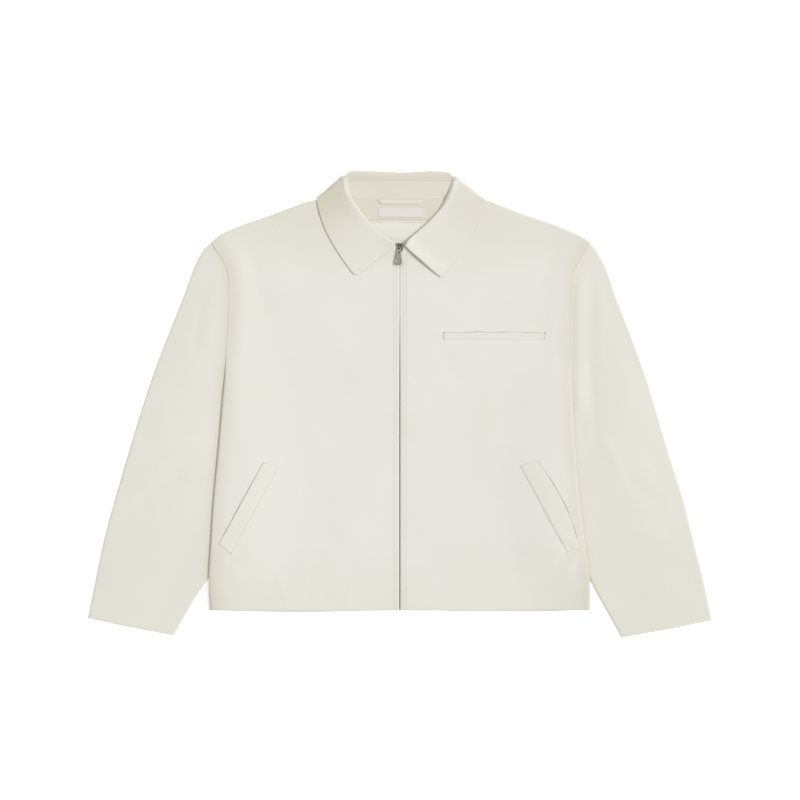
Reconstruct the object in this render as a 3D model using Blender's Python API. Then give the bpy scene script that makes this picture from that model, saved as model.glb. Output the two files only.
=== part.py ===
"""A zip jacket laid flat on a table, front up, with its arms down at its sides.

Lengths here are millimetres and become metres when a mesh is made. +X is the wearer's left,
+Y is towards the neck and +Z is up. The table is z = 0. "Right" and "left" are the wearer's.
"""
import math

import bmesh
import bpy
import numpy as np
from mathutils import Matrix, Vector
from mathutils.bvhtree import BVHTree

MM = 0.001
SEAM = 0.3  # gap between two pieces that are sewn together or lie on each other
SIDES = {"right": -1.0, "left": 1.0}
CENTRE = (0.4, 1.3, 0.0)  # moves the whole jacket so that its box is centred on the origin

# Cloth thickness
BACK_T = 1.6
FRONT_T = 1.5
SLEEVE_T = 1.4
COLLAR_T = 1.6
STAND_T = 1.4
FACING_T = 0.9
WELT_T = 1.1
TAPE_T = 0.6

# How the layers lie on each other
BODY_GAP = 1.9  # between the back and the fronts
OVERHANG = 4.0  # how far the fronts reach past the back at the sides and shoulders
ROLL = 4.0  # width of the rounded edge of a front
TUBE_EDGE = 3.0  # width of the rounded edge of a sleeve
SLEEVE_END = 5.0  # height of a sleeve where the front laps over it
SLEEVE_LIFT = 5.6  # how far the hidden part of a sleeve lifts the body
LEAF_LIFT = 2.2  # how far the collar's hidden part lifts the back
FOLD_TOP = 9.8  # height of the collar's fold round the shoulders
FOLD_R = FOLD_TOP / 2
BACK_RAMP = 42.0  # width over which the lifted back comes down to the table
FRONT_RAMP = 58.0  # the same for the fronts, which lie over it more loosely
NECK_ROLL = 2.2  # radius of the collar's roll beside the neck
BACK_ROLL = 2.8  # radius of the collar's roll behind the neck


def table(columns, *rows):
    """A table with named columns, each as an array."""
    return {name: np.array([row[i] for row in rows], float) for i, name in enumerate(columns)}


# Half widths of the body at its sides, from the hem to the shoulder tip
BODY_EDGE = table(
    ("y", "right", "left"),
    (-319.0, 295.5, 293.5),
    (-269.0, 296.5, 292.5),
    (-218.0, 293.5, 286.0),
    (-149.0, 289.0, 277.5),
    (-71.0, 281.5, 270.5),
    (6.0, 275.0, 266.0),
    (60.0, 270.5, 265.0),
    (115.0, 266.5, 264.5),
    (161.0, 265.0, 265.0),
    (200.0, 266.0, 268.5),
    (224.0, 275.5, 279.5),
    (241.0, 286.5, 289.0),
    (249.5, 292.0, 294.5),
)
UNDERARM_Y = 6.0

# Outer edge of the sleeves, from the shoulder tip to the cuff
SLEEVE_OUTER = table(
    ("y", "right", "left"),
    (239.0, 304.2, 303.2),
    (208.0, 320.2, 319.6),
    (161.0, 337.4, 335.9),
    (99.0, 362.4, 359.8),
    (37.0, 385.5, 382.1),
    (-25.0, 405.5, 401.1),
    (-87.0, 424.2, 419.3),
    (-149.0, 442.2, 439.0),
    (-211.0, 458.8, 454.2),
    (-273.0, 471.7, 469.7),
    (-333.5, 483.6, 482.8),
)
# Inner edge of the sleeves, from below the underarm to the cuff; its upper part lies under the body
SLEEVE_INNER = table(
    ("y", "right", "left"),
    (-30.0, 269.0, 260.0),
    (-87.0, 250.0, 241.0),
    (-149.0, 249.0, 242.0),
    (-211.0, 267.0, 263.0),
    (-269.0, 296.5, 292.5),
    (-304.0, 318.5, 311.0),
    (-360.5, 350.0, 343.0),
)
# Height of a sleeve along its length
SLEEVE_BODY = table(
    ("share", "edge", "crown"),
    (0.0, 4.6, 0.4),
    (0.12, 4.6, 1.7),
    (0.5, 4.6, 2.1),
    (0.9, 4.6, 1.5),
    (1.0, 4.4, 0.9),
)
CROWN_SHARE = 0.74  # the crown ends at this share of the width, before the hidden part

# Shoulder line and neckline, as half widths
SHOULDER = table(
    ("x", "y"),
    (277.0, 262.0),
    (262.7, 269.5),
    (243.6, 277.3),
    (198.7, 293.0),
    (157.3, 308.3),
    (137.0, 315.0),
    (127.0, 315.0),
    (108.0, 320.0),
    (93.0, 326.0),
)
BACK_NECK = table(("x", "y"), (93.0, 326.0), (80.0, 318.5), (64.0, 316.2), (30.0, 316.0), (0.0, 316.0))
FRONT_NECK = table(
    ("x", "y"),
    (93.0, 326.0),
    (91.5, 309.0),
    (83.0, 288.0),
    (67.0, 268.0),
    (46.0, 253.0),
    (26.0, 247.0),
    (9.0, 249.5),
)
HEM = table(
    ("x", "y"),
    (-295.5, -319.0), (-180.0, -320.5), (-120.0, -321.0), (0.0, -319.5), (180.0, -319.0), (293.5, -315.5),
)
# Zip edge of a front; it opens round the slider
ZIP_EDGE = table(("y", "x"), (-320.0, 1.2), (205.0, 1.2), (224.0, 1.9), (236.0, 5.8), (249.5, 7.5))

# Collar leaf, as half widths from the front end to the back
ROLL_LINE = table(
    ("right_x", "right_y", "left_x", "left_y"),
    (9.5, 249.5, 8.6, 249.5),
    (19.8, 257.3, 17.8, 259.3),
    (35.7, 269.1, 33.6, 273.1),
    (51.9, 286.8, 51.5, 290.9),
    (67.4, 306.9, 65.3, 308.8),
    (79.8, 328.6, 76.1, 332.5),
    (82.0, 344.0, 78.5, 346.0),
)
LEAF_FRONT = table(
    ("right_x", "right_y", "left_x", "left_y"),
    (13.0, 241.3, 9.5, 242.5),
    (35.7, 223.2, 34.5, 220.0),
    (55.3, 207.7, 53.0, 203.5),
    (65.0, 200.0, 62.8, 196.2),
)
LEAF_OUTER = table(
    ("right_x", "right_y", "left_x", "left_y"),
    (72.1, 201.5, 68.5, 200.5),
    (85.1, 217.8, 90.7, 229.4),
    (100.9, 241.8, 104.0, 249.5),
    (114.7, 266.6, 114.0, 269.0),
    (124.8, 294.5, 124.5, 295.0),
    (129.0, 316.0, 131.5, 313.5),
)
# Fold of the leaf round the shoulder, from the neck outwards
LEAF_FOLD = table(
    ("right_x", "right_y", "left_x", "left_y"),
    (85.5, 358.6, 81.5, 358.6),
    (91.9, 353.9, 87.0, 353.9),
    (99.5, 347.2, 94.8, 347.2),
    (108.5, 339.5, 104.6, 339.5),
    (116.9, 331.7, 114.2, 331.7),
    (126.0, 324.0, 123.3, 324.0),
    (130.0, 320.0, 132.5, 318.0),
)
BACK_FOLD_Y = 358.6  # collar's edge behind the neck
BACK_FOLD_DIP = 1.8
LEAF_BACK_Y = 291.0  # hidden outer edge of the leaf behind the neck
STAND_TOP_Y = 344.0  # seam between the leaf and the stand behind the neck

FACING_EDGE_Y = 283.0
LINING_EDGE_Y = 252.0

# Corners of the side welts: the opening edge from the top down, then the inner edge
WELT_OPENING = table(
    ("right_x", "right_y", "left_x", "left_y"),
    (210.8, -89.1, 210.5, -86.8),
    (233.0, -129.5, 236.5, -124.8),
    (258.0, -175.5, 261.0, -172.0),
    (280.7, -217.2, 276.0, -221.0),
)
WELT_INNER = table(
    ("right_x", "right_y", "left_x", "left_y"),
    (185.8, -96.7, 184.5, -95.0),
    (210.0, -140.5, 208.5, -139.5),
    (236.0, -187.5, 235.4, -189.6),
    (260.6, -232.5, 258.7, -230.6),
)
CHEST_WELT = {"x0": 66.5, "x1": 225.0, "y0": 99.8, "y1": 110.8}

LOOP = {"x0": -36.5, "x1": 37.5, "y": 315.0, "sag": 4.2, "width": 4.6, "thickness": 1.4}
LABEL = {"x0": -34.4, "x1": 37.4, "y0": 289.4, "y1": 303.8, "thickness": 0.5}

CHAIN = {"half_width": 2.3, "z0": 2.2, "z1": 3.2, "top": 237.0}
TAPE = {"inner": 2.6, "outer": 13.0, "z": 2.3, "top": 249.5}
SLIDER = {"top": 248.6, "bottom": 237.4, "half_top": 4.8, "half_bottom": 3.6, "z0": 3.1, "z1": 6.2}
BRIDGE = {"y": 242.0, "half_width": 0.9, "half_length": 3.4, "height": 3.2, "bar": 0.8}
PULL = {
    "axis_y": 241.5, "axis_z": 7.1, "pin": 0.5, "arm": 5.2,
    "length": 26.0, "half_top": 2.9, "half_end": 4.5,
}
PULL_EYE = 1.35  # half width of the eye round the bridge
PULL_TILT = 2.6  # degrees by which the tab slopes down to the cloth

# Soft troughs (negative) and ridges in the upper cloth: ends, half width across, height
FOLDS = table(
    ("x0", "y0", "x1", "y1", "spread", "height"),
    (-250.0, 215.0, -225.0, 40.0, 26.0, 0.7),
    (246.0, 210.0, 240.0, 0.0, 24.0, 0.8),
    (-215.0, -60.0, -245.0, -250.0, 30.0, 0.6),
    (222.0, -60.0, 250.0, -240.0, 30.0, 0.6),
    (-60.0, -318.0, -95.0, -215.0, 16.0, -0.5),
    (150.0, -318.0, 175.0, -235.0, 18.0, -0.5),
    (-330.0, 120.0, -372.0, -40.0, 22.0, 0.6),
    (335.0, 110.0, 372.0, -40.0, 22.0, 0.6),
    (-345.0, -110.0, -395.0, -150.0, 13.0, -0.8),
    (350.0, -120.0, 398.0, -155.0, 13.0, -0.8),
)

CLOTH = (0.80, 0.775, 0.70, 1.0)
LINING = (0.80, 0.80, 0.745, 1.0)
TRIM = (0.79, 0.76, 0.72, 1.0)
DARK_METAL = (0.09, 0.08, 0.075, 1.0)
PULL_METAL = (0.33, 0.31, 0.29, 1.0)


# ---------------------------------------------------------------- curves

def smooth_curve(points, spans=14):
    """Dense points on a Catmull-Rom curve through the given points."""
    p = np.array(points, float)
    p = np.vstack([2 * p[0] - p[1], p, 2 * p[-1] - p[-2]])
    t = np.linspace(0, 1, spans, endpoint=False)[:, None]
    runs = []
    for a, b, c, d in zip(p, p[1:], p[2:], p[3:]):
        bend = (2 * a - 5 * b + 4 * c - d) * t ** 2 + (3 * b - a - 3 * c + d) * t ** 3
        runs.append(0.5 * (2 * b + (c - a) * t + bend))
    return np.vstack(runs + [p[-2:-1]])


def run_length(curve):
    """Distance along a curve at each of its points."""
    steps = np.linalg.norm(np.diff(curve, axis=0), axis=1)
    return np.concatenate([[0.0], np.cumsum(steps)])


def at_distances(curve, distances):
    """Points of a curve at the given distances along it."""
    along = run_length(curve)
    return np.array([np.interp(distances, along, curve[:, i]) for i in range(curve.shape[1])]).T


def divide(curve, cells, start=(), end=()):
    """Evenly spaced points of a curve, with closer ones at given distances from its two ends."""
    total = run_length(curve)[-1]
    first = max(start) if start else 0.0
    last = total - (max(end) if end else 0.0)
    middle = np.linspace(first, last, cells + 1)
    head = sorted(d for d in start if d < first)
    tail = sorted(total - d for d in end if total - d > last)
    return at_distances(curve, np.concatenate([head, middle, tail]))


def inset(curve, distance):
    """The curve moved to its left by a distance."""
    along = np.gradient(curve, axis=0)
    along /= np.linalg.norm(along, axis=1)[:, None]
    return curve + distance * np.column_stack([-along[:, 1], along[:, 0]])


def crossing(first, second):
    """Where the straight lines through two pairs of points cross."""
    a, b = first[1] - first[0], second[1] - second[0]
    share = np.linalg.solve(np.column_stack([a, -b]), second[0] - first[0])[0]
    return first[0] + share * a


def points(rows, side, x, y):
    """Points from two columns, with x as a half width on the given side."""
    return np.column_stack([SIDES[side] * rows[x], rows[y]])


def side_points(rows, side):
    """Points of a table whose columns are right_x, right_y, left_x and left_y."""
    return points(rows, side, side + "_x", side + "_y")


def coons(bottom, top, left, right):
    """Grid of points between four border curves; rows go from bottom to top."""
    u = (run_length(bottom) / run_length(bottom)[-1] + run_length(top) / run_length(top)[-1]) / 2
    v = (run_length(left) / run_length(left)[-1] + run_length(right) / run_length(right)[-1]) / 2
    u = u[None, :, None]
    v = v[:, None, None]
    across = (1 - u) * left[:, None] + u * right[:, None]
    along = (1 - v) * bottom[None] + v * top[None]
    corners = (1 - u) * (1 - v) * bottom[0] + u * (1 - v) * bottom[-1]
    corners = corners + (1 - u) * v * top[0] + u * v * top[-1]
    return across + along - corners


def ruled(left, right, across, top, bottom):
    """Rows straight from left to right that take the shape of the top and bottom curves near them."""
    rows = left[:, None] + across[..., None] * (right - left)[:, None]
    v = np.linspace(0, 1, len(left))[:, None, None]
    near_top = np.clip(1 - v / 0.3, 0, 1) ** 2
    near_bottom = np.clip(1 - (1 - v) / 0.15, 0, 1) ** 2
    top = at_distances(top, across[0] * run_length(top)[-1])
    bottom = at_distances(bottom, across[-1] * run_length(bottom)[-1])
    return rows + near_top * (top[None] - rows[:1]) + near_bottom * (bottom[None] - rows[-1:])


# ---------------------------------------------------------------- heights

def distance_to(line, x, y):
    """Distance in plan from each point to a polyline."""
    p = np.stack([x, y], axis=-1)[..., None, :]
    a = line[:-1]
    ab = line[1:] - a
    t = np.clip(((p - a) * ab).sum(-1) / np.maximum((ab ** 2).sum(-1), 1e-9), 0, 1)
    return np.linalg.norm(p - a - t[..., None] * ab, axis=-1).min(-1)


def inside(outline, x, y):
    """Which points lie inside a closed outline."""
    result = np.zeros(np.shape(x), bool)
    for (x0, y0), (x1, y1) in zip(outline, np.roll(outline, -1, axis=0)):
        crosses = (y0 > y) != (y1 > y)
        edge_x = x0 + (y - y0) / (y1 - y0 if y1 != y0 else 1.0) * (x1 - x0)
        result ^= crosses & (x < edge_x)
    return result


def nearness(outline, x, y, flat, ramp):
    """1 inside an outline and up to flat outside it, then easing to 0 over the ramp."""
    away = distance_to(np.vstack([outline, outline[:1]]), x, y)
    away = np.where(inside(outline, x, y), 0.0, away)
    t = np.clip((away - flat) / ramp, 0, 1)
    return 1 - t * t * (3 - 2 * t)


def larger(*heights):
    """A rounded maximum of heights that are 0 or more."""
    return sum(h ** 5 for h in heights) ** 0.2


def folds(x, y):
    """Height of the soft folds of the upper cloth."""
    total = np.zeros(np.shape(x))
    for x0, y0, x1, y1, spread, height in zip(*FOLDS.values()):
        away = distance_to(np.array([[x0, y0], [x1, y1]]), x, y)
        total += height * np.exp(-(away / spread) ** 2)
    return total


def body_edge(side):
    """Plan of the body's side edge at the seam points, from the hem to the shoulder tip."""
    curve = smooth_curve(points(BODY_EDGE, side, side, "y"))
    underarm = np.interp(UNDERARM_Y, curve[:, 1], run_length(curve))
    lower = np.linspace(0, underarm, 10)
    upper = np.linspace(underarm, run_length(curve)[-1], 13)
    return at_distances(curve, np.concatenate([lower, upper[1:]]))


def armhole(side):
    """Plan of the armhole seam on the sleeve, from the shoulder tip to the underarm."""
    edge = inset(body_edge(side), SIDES[side] * (OVERHANG - SEAM))
    return edge[:8:-1]


def sleeve_inner(side):
    """Plan of the sleeve's inner edge, from the underarm to the cuff."""
    return smooth_curve(np.vstack([armhole(side)[-1:], points(SLEEVE_INNER, side, side, "y")]))


def sleeve_outer(side):
    """Plan of the sleeve's outer edge, from the shoulder tip to the cuff."""
    return smooth_curve(np.vstack([armhole(side)[:1], points(SLEEVE_OUTER, side, side, "y")]))


def sleeve_outline(side):
    return np.vstack([sleeve_outer(side), sleeve_inner(side)[::-1], armhole(side)[::-1]])


def hidden_outline(side):
    """The part of a sleeve that lies under the body."""
    inner = sleeve_inner(side)
    edge = smooth_curve(points(BODY_EDGE, side, side, "y"))
    lowest = SLEEVE_INNER["y"][4]
    inner = inner[inner[:, 1] > lowest]
    edge = edge[(edge[:, 1] > lowest) & (edge[:, 1] < UNDERARM_Y)]
    return np.vstack([inner, edge])


def leaf_back_edge(side):
    """Plan of the leaf's hidden outer edge, from the shoulder fold to the middle of the back."""
    start = side_points(LEAF_FOLD, side)[-1]
    return smooth_curve([start, (SIDES[side] * 105, 302), (SIDES[side] * 62, 293.5), (0, LEAF_BACK_Y)])


def leaf_outline():
    """The part of the collar that lies under the back."""
    right = np.vstack([side_points(LEAF_FOLD, "right"), leaf_back_edge("right")])
    left = np.vstack([side_points(LEAF_FOLD, "left"), leaf_back_edge("left")])
    return np.vstack([right, left[::-1]])


HIDDEN = {side: hidden_outline(side) for side in SIDES}
SLEEVES = {side: sleeve_outline(side) for side in SIDES}
LEAF_UNDER = leaf_outline()


def body_lift(x, y, ramp=BACK_RAMP):
    """Height of the back panel's underside above the table."""
    sleeves = [SLEEVE_LIFT * nearness(HIDDEN[side], x, y, 12.0, ramp) for side in SIDES]
    return larger(LEAF_LIFT * nearness(LEAF_UNDER, x, y, 10.0, ramp), *sleeves)


def back_top(x, y):
    return body_lift(x, y) + BACK_T


def over_sleeves(x, y):
    """1 where a front lies on the upper cloth of a sleeve, easing to 0 beside it."""
    return larger(*[nearness(SLEEVES[side], x, y, 5.0, 26.0) for side in SIDES])


def front_top(x, y):
    """Height of the outer face of the fronts, without their rounded edges."""
    rest = BACK_T + BODY_GAP
    rise = (SLEEVE_END + 0.5 - rest) * over_sleeves(x, y)
    return rest + FRONT_T + larger(body_lift(x, y, FRONT_RAMP), rise) + folds(x, y)


def front_lip(x, y):
    """Height of the outer rim of a front at its rounded edge."""
    return larger(0.9 + body_lift(x, y), (SLEEVE_END + 1.0) * over_sleeves(x, y))


# ---------------------------------------------------------------- meshes

def material(name, color, metallic=0.0, roughness=0.8):
    made = bpy.data.materials.new(name)
    made.use_nodes = True
    shader = made.node_tree.nodes["Principled BSDF"]
    shader.inputs["Base Color"].default_value = color
    shader.inputs["Metallic"].default_value = metallic
    shader.inputs["Roughness"].default_value = roughness
    return made


def add_object(name, bm, look, at=None):
    """Makes an object from a bmesh in millimetres, with its own origin at a point if one is given."""
    place = Vector() if at is None else Vector(at) + Vector(CENTRE)
    bmesh.ops.translate(bm, verts=bm.verts, vec=Vector(CENTRE) - place)
    bmesh.ops.scale(bm, verts=bm.verts, vec=(MM, MM, MM))
    mesh = bpy.data.meshes.new(name)
    bm.to_mesh(mesh)
    bm.free()
    mesh.shade_smooth()
    mesh.set_sharp_from_angle(angle=math.radians(40))
    mesh.materials.append(look)
    made = bpy.data.objects.new(name, mesh)
    made.location = place * MM
    bpy.context.scene.collection.objects.link(made)
    return made


def sheet_mesh(grid, tube=False):
    """A sheet of quads through rows of points; a tube's rows are closed rings."""
    bm = bmesh.new()
    rows = [[bm.verts.new(p) for p in row] for row in grid]
    for low, high in zip(rows, rows[1:]):
        ring_low = low + low[:1] if tube else low
        ring_high = high + high[:1] if tube else high
        for quad in zip(ring_low, ring_low[1:], ring_high[1:], ring_high):
            bm.faces.new(quad)
    return bm


def add_cloth(name, grid, thickness, look, tube=False, flip=False):
    """A wall of cloth whose outer face goes through the grid."""
    bm = sheet_mesh(grid, tube)
    if flip:
        bmesh.ops.reverse_faces(bm, faces=bm.faces)
    made = add_object(name, bm, look)
    wall = made.modifiers.new("Wall", "SOLIDIFY")
    wall.thickness = thickness * MM
    wall.offset = -1
    return made


def with_height(plan, height):
    return np.dstack([plan, height])


def surface_of(grid):
    """A search tree of the faces of a sheet, for pieces that lie on it."""
    bm = sheet_mesh(grid)
    tree = BVHTree.FromBMesh(bm)
    bm.free()
    return tree


def lay_on(tree, plan, above):
    """Heights of plan points laid on a sheet, moved out by a gap."""
    heights = np.zeros(plan.shape[:2])
    for place in np.ndindex(heights.shape):
        x, y = plan[place]
        hit = tree.ray_cast(Vector((x, y, 100)), Vector((0, 0, -1)))[0]
        heights[place] = hit.z + above if hit else 0.0
    return heights


# Rounded edge: distance from the rim and share of the drop, from the flat cloth to the rim
EDGE_ANGLES = np.radians([0, 30, 60, 90])
EDGE_AWAY = 1 - np.sin(EDGE_ANGLES)
EDGE_DROP = 1 - np.cos(EDGE_ANGLES)


def build_back(look):
    hem = HEM_CURVE
    left = inset(body_edge("right"), -OVERHANG)
    right = inset(body_edge("left"), OVERHANG)
    left[0, 1] = hem[0, 1]
    right[0, 1] = hem[-1, 1]
    shoulder = {side: inset(shoulder_curve(side, 8), SIDES[side] * OVERHANG) for side in SIDES}
    neck = {side: divide(smooth_curve(points(BACK_NECK, side, "x", "y")), 4) for side in SIDES}
    for side, rim in (("right", left), ("left", right)):
        shoulder[side][0] = rim[-1] = crossing(rim[-2:], shoulder[side][:2])
        shoulder[side][-1] = neck[side][0] = neck[side][0] - (0, OVERHANG)
    top = np.vstack([shoulder["right"], neck["right"][1:], neck["left"][-2:0:-1], shoulder["left"][::-1]])
    bottom = divide(np.vstack([left[:1], hem[1:-1], right[:1]]), len(top) - 1)
    plan = coons(bottom, top, left, right)
    grid = with_height(plan, body_lift(plan[..., 0], plan[..., 1]))
    add_cloth("back", grid, BACK_T, look, flip=True)
    return surface_of(with_height(plan, grid[..., 2] + BACK_T))


HEM_CURVE = smooth_curve(np.column_stack([HEM["x"], HEM["y"]]))


def shoulder_curve(side, cells, end=()):
    """Plan of a front's shoulder edge, from the shoulder tip to the neck."""
    tip = body_edge(side)[-1:]
    curve = smooth_curve(np.vstack([tip, points(SHOULDER, side, "x", "y")]))
    return divide(curve, cells, start=end)


FRONT_COLUMNS = 15


def build_front(side, look):
    rim = [ROLL * share for share in EDGE_AWAY[1:]]
    edge = body_edge(side)
    hem_y = np.interp(edge[0, 0], HEM["x"], HEM["y"])
    edge[0, 1] = hem_y
    zip_curve = points(ZIP_EDGE, side, "x", "y")
    zip_curve[0, 1] = np.interp(zip_curve[0, 0], HEM["x"], HEM["y"])
    neck = smooth_curve(points(FRONT_NECK, side, "x", "y"))[::-1]
    neck[0] = zip_curve[-1]
    inner = np.vstack([divide(zip_curve, 14), divide(neck, 7)[1:]])
    last = np.array([ROLL] + rim)
    inner = np.vstack([inner[:-1], at_distances(inner[-2:], run_length(inner[-2:])[-1] - last)])
    outer = np.vstack([edge[:-1], at_distances(edge[-2:], run_length(edge[-2:])[-1] - last)])
    shoulder = shoulder_curve(side, FRONT_COLUMNS, end=[ROLL] + rim)[::-1]
    hem = smooth_curve([inner[0], (inner[0] + outer[0]) / 2 + (0, -1.0), outer[0]])
    bottom = divide(hem, FRONT_COLUMNS, end=[ROLL] + rim)
    plan = coons(bottom, shoulder, inner, outer)
    x, y = plan[..., 0], plan[..., 1]
    drop_across = np.concatenate([np.zeros(plan.shape[1] - 4), EDGE_DROP])[None, :]
    drop_along = np.concatenate([np.zeros(plan.shape[0] - 4), EDGE_DROP])[:, None]
    drop = np.maximum(drop_across, drop_along)
    top = front_top(x, y)
    grid = with_height(plan, top - (top - front_lip(x, y)) * drop)
    add_cloth("front_" + side, grid, FRONT_T, look, flip=side == "right")
    return surface_of(grid)


def tube_columns(outer, inner):
    """Shares of the width at which a sleeve's columns lie, close together at its rounded edges."""
    line = inner - outer
    width = np.linalg.norm(line, axis=1)
    along = np.gradient(inner, axis=0)
    along /= np.linalg.norm(along, axis=1)[:, None]
    slant = np.abs(line[:, 0] * along[:, 1] - line[:, 1] * along[:, 0]) / width
    inner_rim = TUBE_EDGE / np.clip(slant, 0.25, 1)
    middle = np.linspace(0, 1, 8)[None, :]
    middle = TUBE_EDGE + middle * (width - TUBE_EDGE - inner_rim)[:, None]
    start = np.tile(TUBE_EDGE * EDGE_AWAY[:0:-1], (len(width), 1))
    end = width[:, None] - inner_rim[:, None] * EDGE_AWAY[None, 1:]
    return np.hstack([start, middle, end]) / width[:, None]


def build_sleeve(side, look):
    share = np.linspace(0, 1, 17)
    outer_curve, inner_curve = sleeve_outer(side), sleeve_inner(side)
    outer = at_distances(outer_curve, share * run_length(outer_curve)[-1])
    inner = at_distances(inner_curve, share ** 1.8 * run_length(inner_curve)[-1])
    across = tube_columns(outer, inner)
    cuff = smooth_curve([outer[-1], (outer[-1] + inner[-1]) / 2 + (0, -0.8), inner[-1]])
    plan = ruled(outer, inner, across, armhole(side), cuff)
    share = share[:, None]
    edge = np.interp(share, SLEEVE_BODY["share"], SLEEVE_BODY["edge"])
    crown = np.interp(share, SLEEVE_BODY["share"], SLEEVE_BODY["crown"])
    bulge = np.sin(math.pi * np.clip(across / CROWN_SHARE, 0, 1)) ** 0.8
    rise = np.cos(EDGE_ANGLES)[::-1]
    roundness = np.concatenate([rise, np.ones(across.shape[1] - 8), rise[::-1]])[None, :]
    middle = 0.45 * edge
    soft = folds(plan[..., 0], plan[..., 1]) * np.clip(share / 0.15, 0, 1) * (across < CROWN_SHARE)
    upper = middle + (edge - middle) * roundness + crown * bulge + soft
    lower = middle * (1 - roundness) + 0 * upper
    ring = np.concatenate([with_height(plan, upper), with_height(plan, lower)[:, -2:0:-1]], axis=1)
    add_cloth("sleeve_" + side, ring, SLEEVE_T, look, tube=True, flip=side == "right")


def leaf_corner(side):
    """Where the roll beside the neck meets the fold round the shoulder."""
    return crossing(
        inset(side_points(LEAF_FOLD, side)[:2], -SIDES[side] * FOLD_R),
        inset(side_points(ROLL_LINE, side)[-2:], -SIDES[side] * NECK_ROLL),
    )


def roll_bulge(side, x, y):
    """How far the leaf rises towards its roll and, more, towards its front end."""
    roll = smooth_curve(side_points(ROLL_LINE, side))
    to_roll = np.exp(-(distance_to(roll, x, y) / 16) ** 2)
    to_end = np.exp(-np.hypot(x - roll[0, 0], y - roll[0, 1]) / 14)
    return 1.3 * to_roll + 2.8 * to_end * to_roll


def leaf_wing(side, front_tree):
    """Outer face of the visible front part of the leaf; rows go from its roll to its outer edge."""
    way = -SIDES[side]
    corner = leaf_corner(side)
    fold = np.vstack([corner, inset(smooth_curve(side_points(LEAF_FOLD, side)), way * FOLD_R)[14:]])
    roll = inset(smooth_curve(side_points(ROLL_LINE, side)), way * NECK_ROLL)
    roll = np.vstack([roll[:-6], corner])
    front = smooth_curve(np.vstack([roll[:1], side_points(LEAF_FRONT, side)]))
    outer = smooth_curve(np.vstack([front[-1:], side_points(LEAF_OUTER, side), fold[-1:]]))
    plan = coons(divide(roll, 12), divide(outer, 12), divide(front, 6), divide(fold, 6))
    x, y = plan[..., 0], plan[..., 1]
    rest = np.maximum(front_top(x, y), lay_on(front_tree, plan, 0.0))
    height = rest + 0.5 + COLLAR_T + roll_bulge(side, x, y)
    to_fold = np.clip(np.linspace(0, 1, 13) * 3 - 2, 0, 1)[None, :]
    return with_height(plan, height + (FOLD_TOP - height) * to_fold ** 2)


def leaf_back(side, fold):
    """Outer face of the hidden back part of the leaf, from the shoulder fold to the middle."""
    roll_end = np.array([0, BACK_FOLD_Y - BACK_FOLD_DIP - BACK_ROLL])
    start = fold[0]
    roll = smooth_curve([start, (0.5 * start[0], roll_end[1] + 1.2), roll_end])
    outer = smooth_curve(np.vstack([fold[-1:], leaf_back_edge(side)[12:]]))
    middle = np.linspace(roll_end, outer[-1], 7)
    plan = coons(divide(roll, 7), divide(outer, 7), fold, middle)
    return with_height(plan, np.zeros(plan.shape[:2]))


def unit(vectors):
    return vectors / np.linalg.norm(vectors, axis=-1, keepdims=True)


def half_leaf(side, front_tree):
    """Outer face of half the leaf, from its front end to the middle of the back."""
    wing = leaf_wing(side, front_tree)
    fold = wing[:, -1, :2]
    outward = unit(np.gradient(fold, axis=0))
    outward = SIDES[side] * np.column_stack([-outward[:, 1], outward[:, 0]])
    turns = []
    for angle in TURN_ANGLES:
        plan = fold + outward * FOLD_R * math.cos(angle)
        turns.append(np.column_stack([plan, np.full(len(plan), FOLD_R * (1 + math.sin(angle)))]))
    return np.concatenate([wing, np.stack(turns, axis=1), leaf_back(side, fold)], axis=1)


WING_COLUMNS = 13
TURN_COLUMNS = 5
TURN_ANGLES = np.radians([60, 30, 0, -30, -60])
STAND_SKIP = 2  # columns of the leaf at its front ends that have no stand
STAND_INSET = 1.7
STAND_SIDE = {"x": 89.2, "y": 323.2}
STAND_CUT = {"top": 10, "front": 16}
BACK_NECK_GAP = 0.6
FRONT_REST = BACK_T + BODY_GAP + 0.2


def stand_bottom(side):
    """The stand's lower edge, from its front end round the side of the neck to the middle of the back."""
    neck = inset(smooth_curve(points(FRONT_NECK, side, "x", "y")), -SIDES[side] * STAND_INSET)
    corner = np.array([SIDES[side] * STAND_SIDE["x"], STAND_SIDE["y"]])
    front = np.vstack([neck[STAND_CUT["top"]:-STAND_CUT["front"]][::-1], corner])
    front = divide(front, WING_COLUMNS - 1 - STAND_SKIP)
    back = points(BACK_NECK, side, "x", "y")[1:] + (0, BACK_NECK_GAP)
    back = divide(smooth_curve(np.vstack([corner, back])), 7)
    high = np.column_stack([front, FRONT_REST + body_lift(*front.T)])
    low = np.column_stack([back, back_top(*back.T) + 0.2])
    middle = (high[-1] + low[0]) / 2
    radius = (high[-1, 2] - low[0, 2]) / 2
    turns = [
        middle + radius * np.array([SIDES[side] * math.cos(angle), 0, math.sin(angle)])
        for angle in TURN_ANGLES
    ]
    return np.vstack([high, turns, low])


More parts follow.
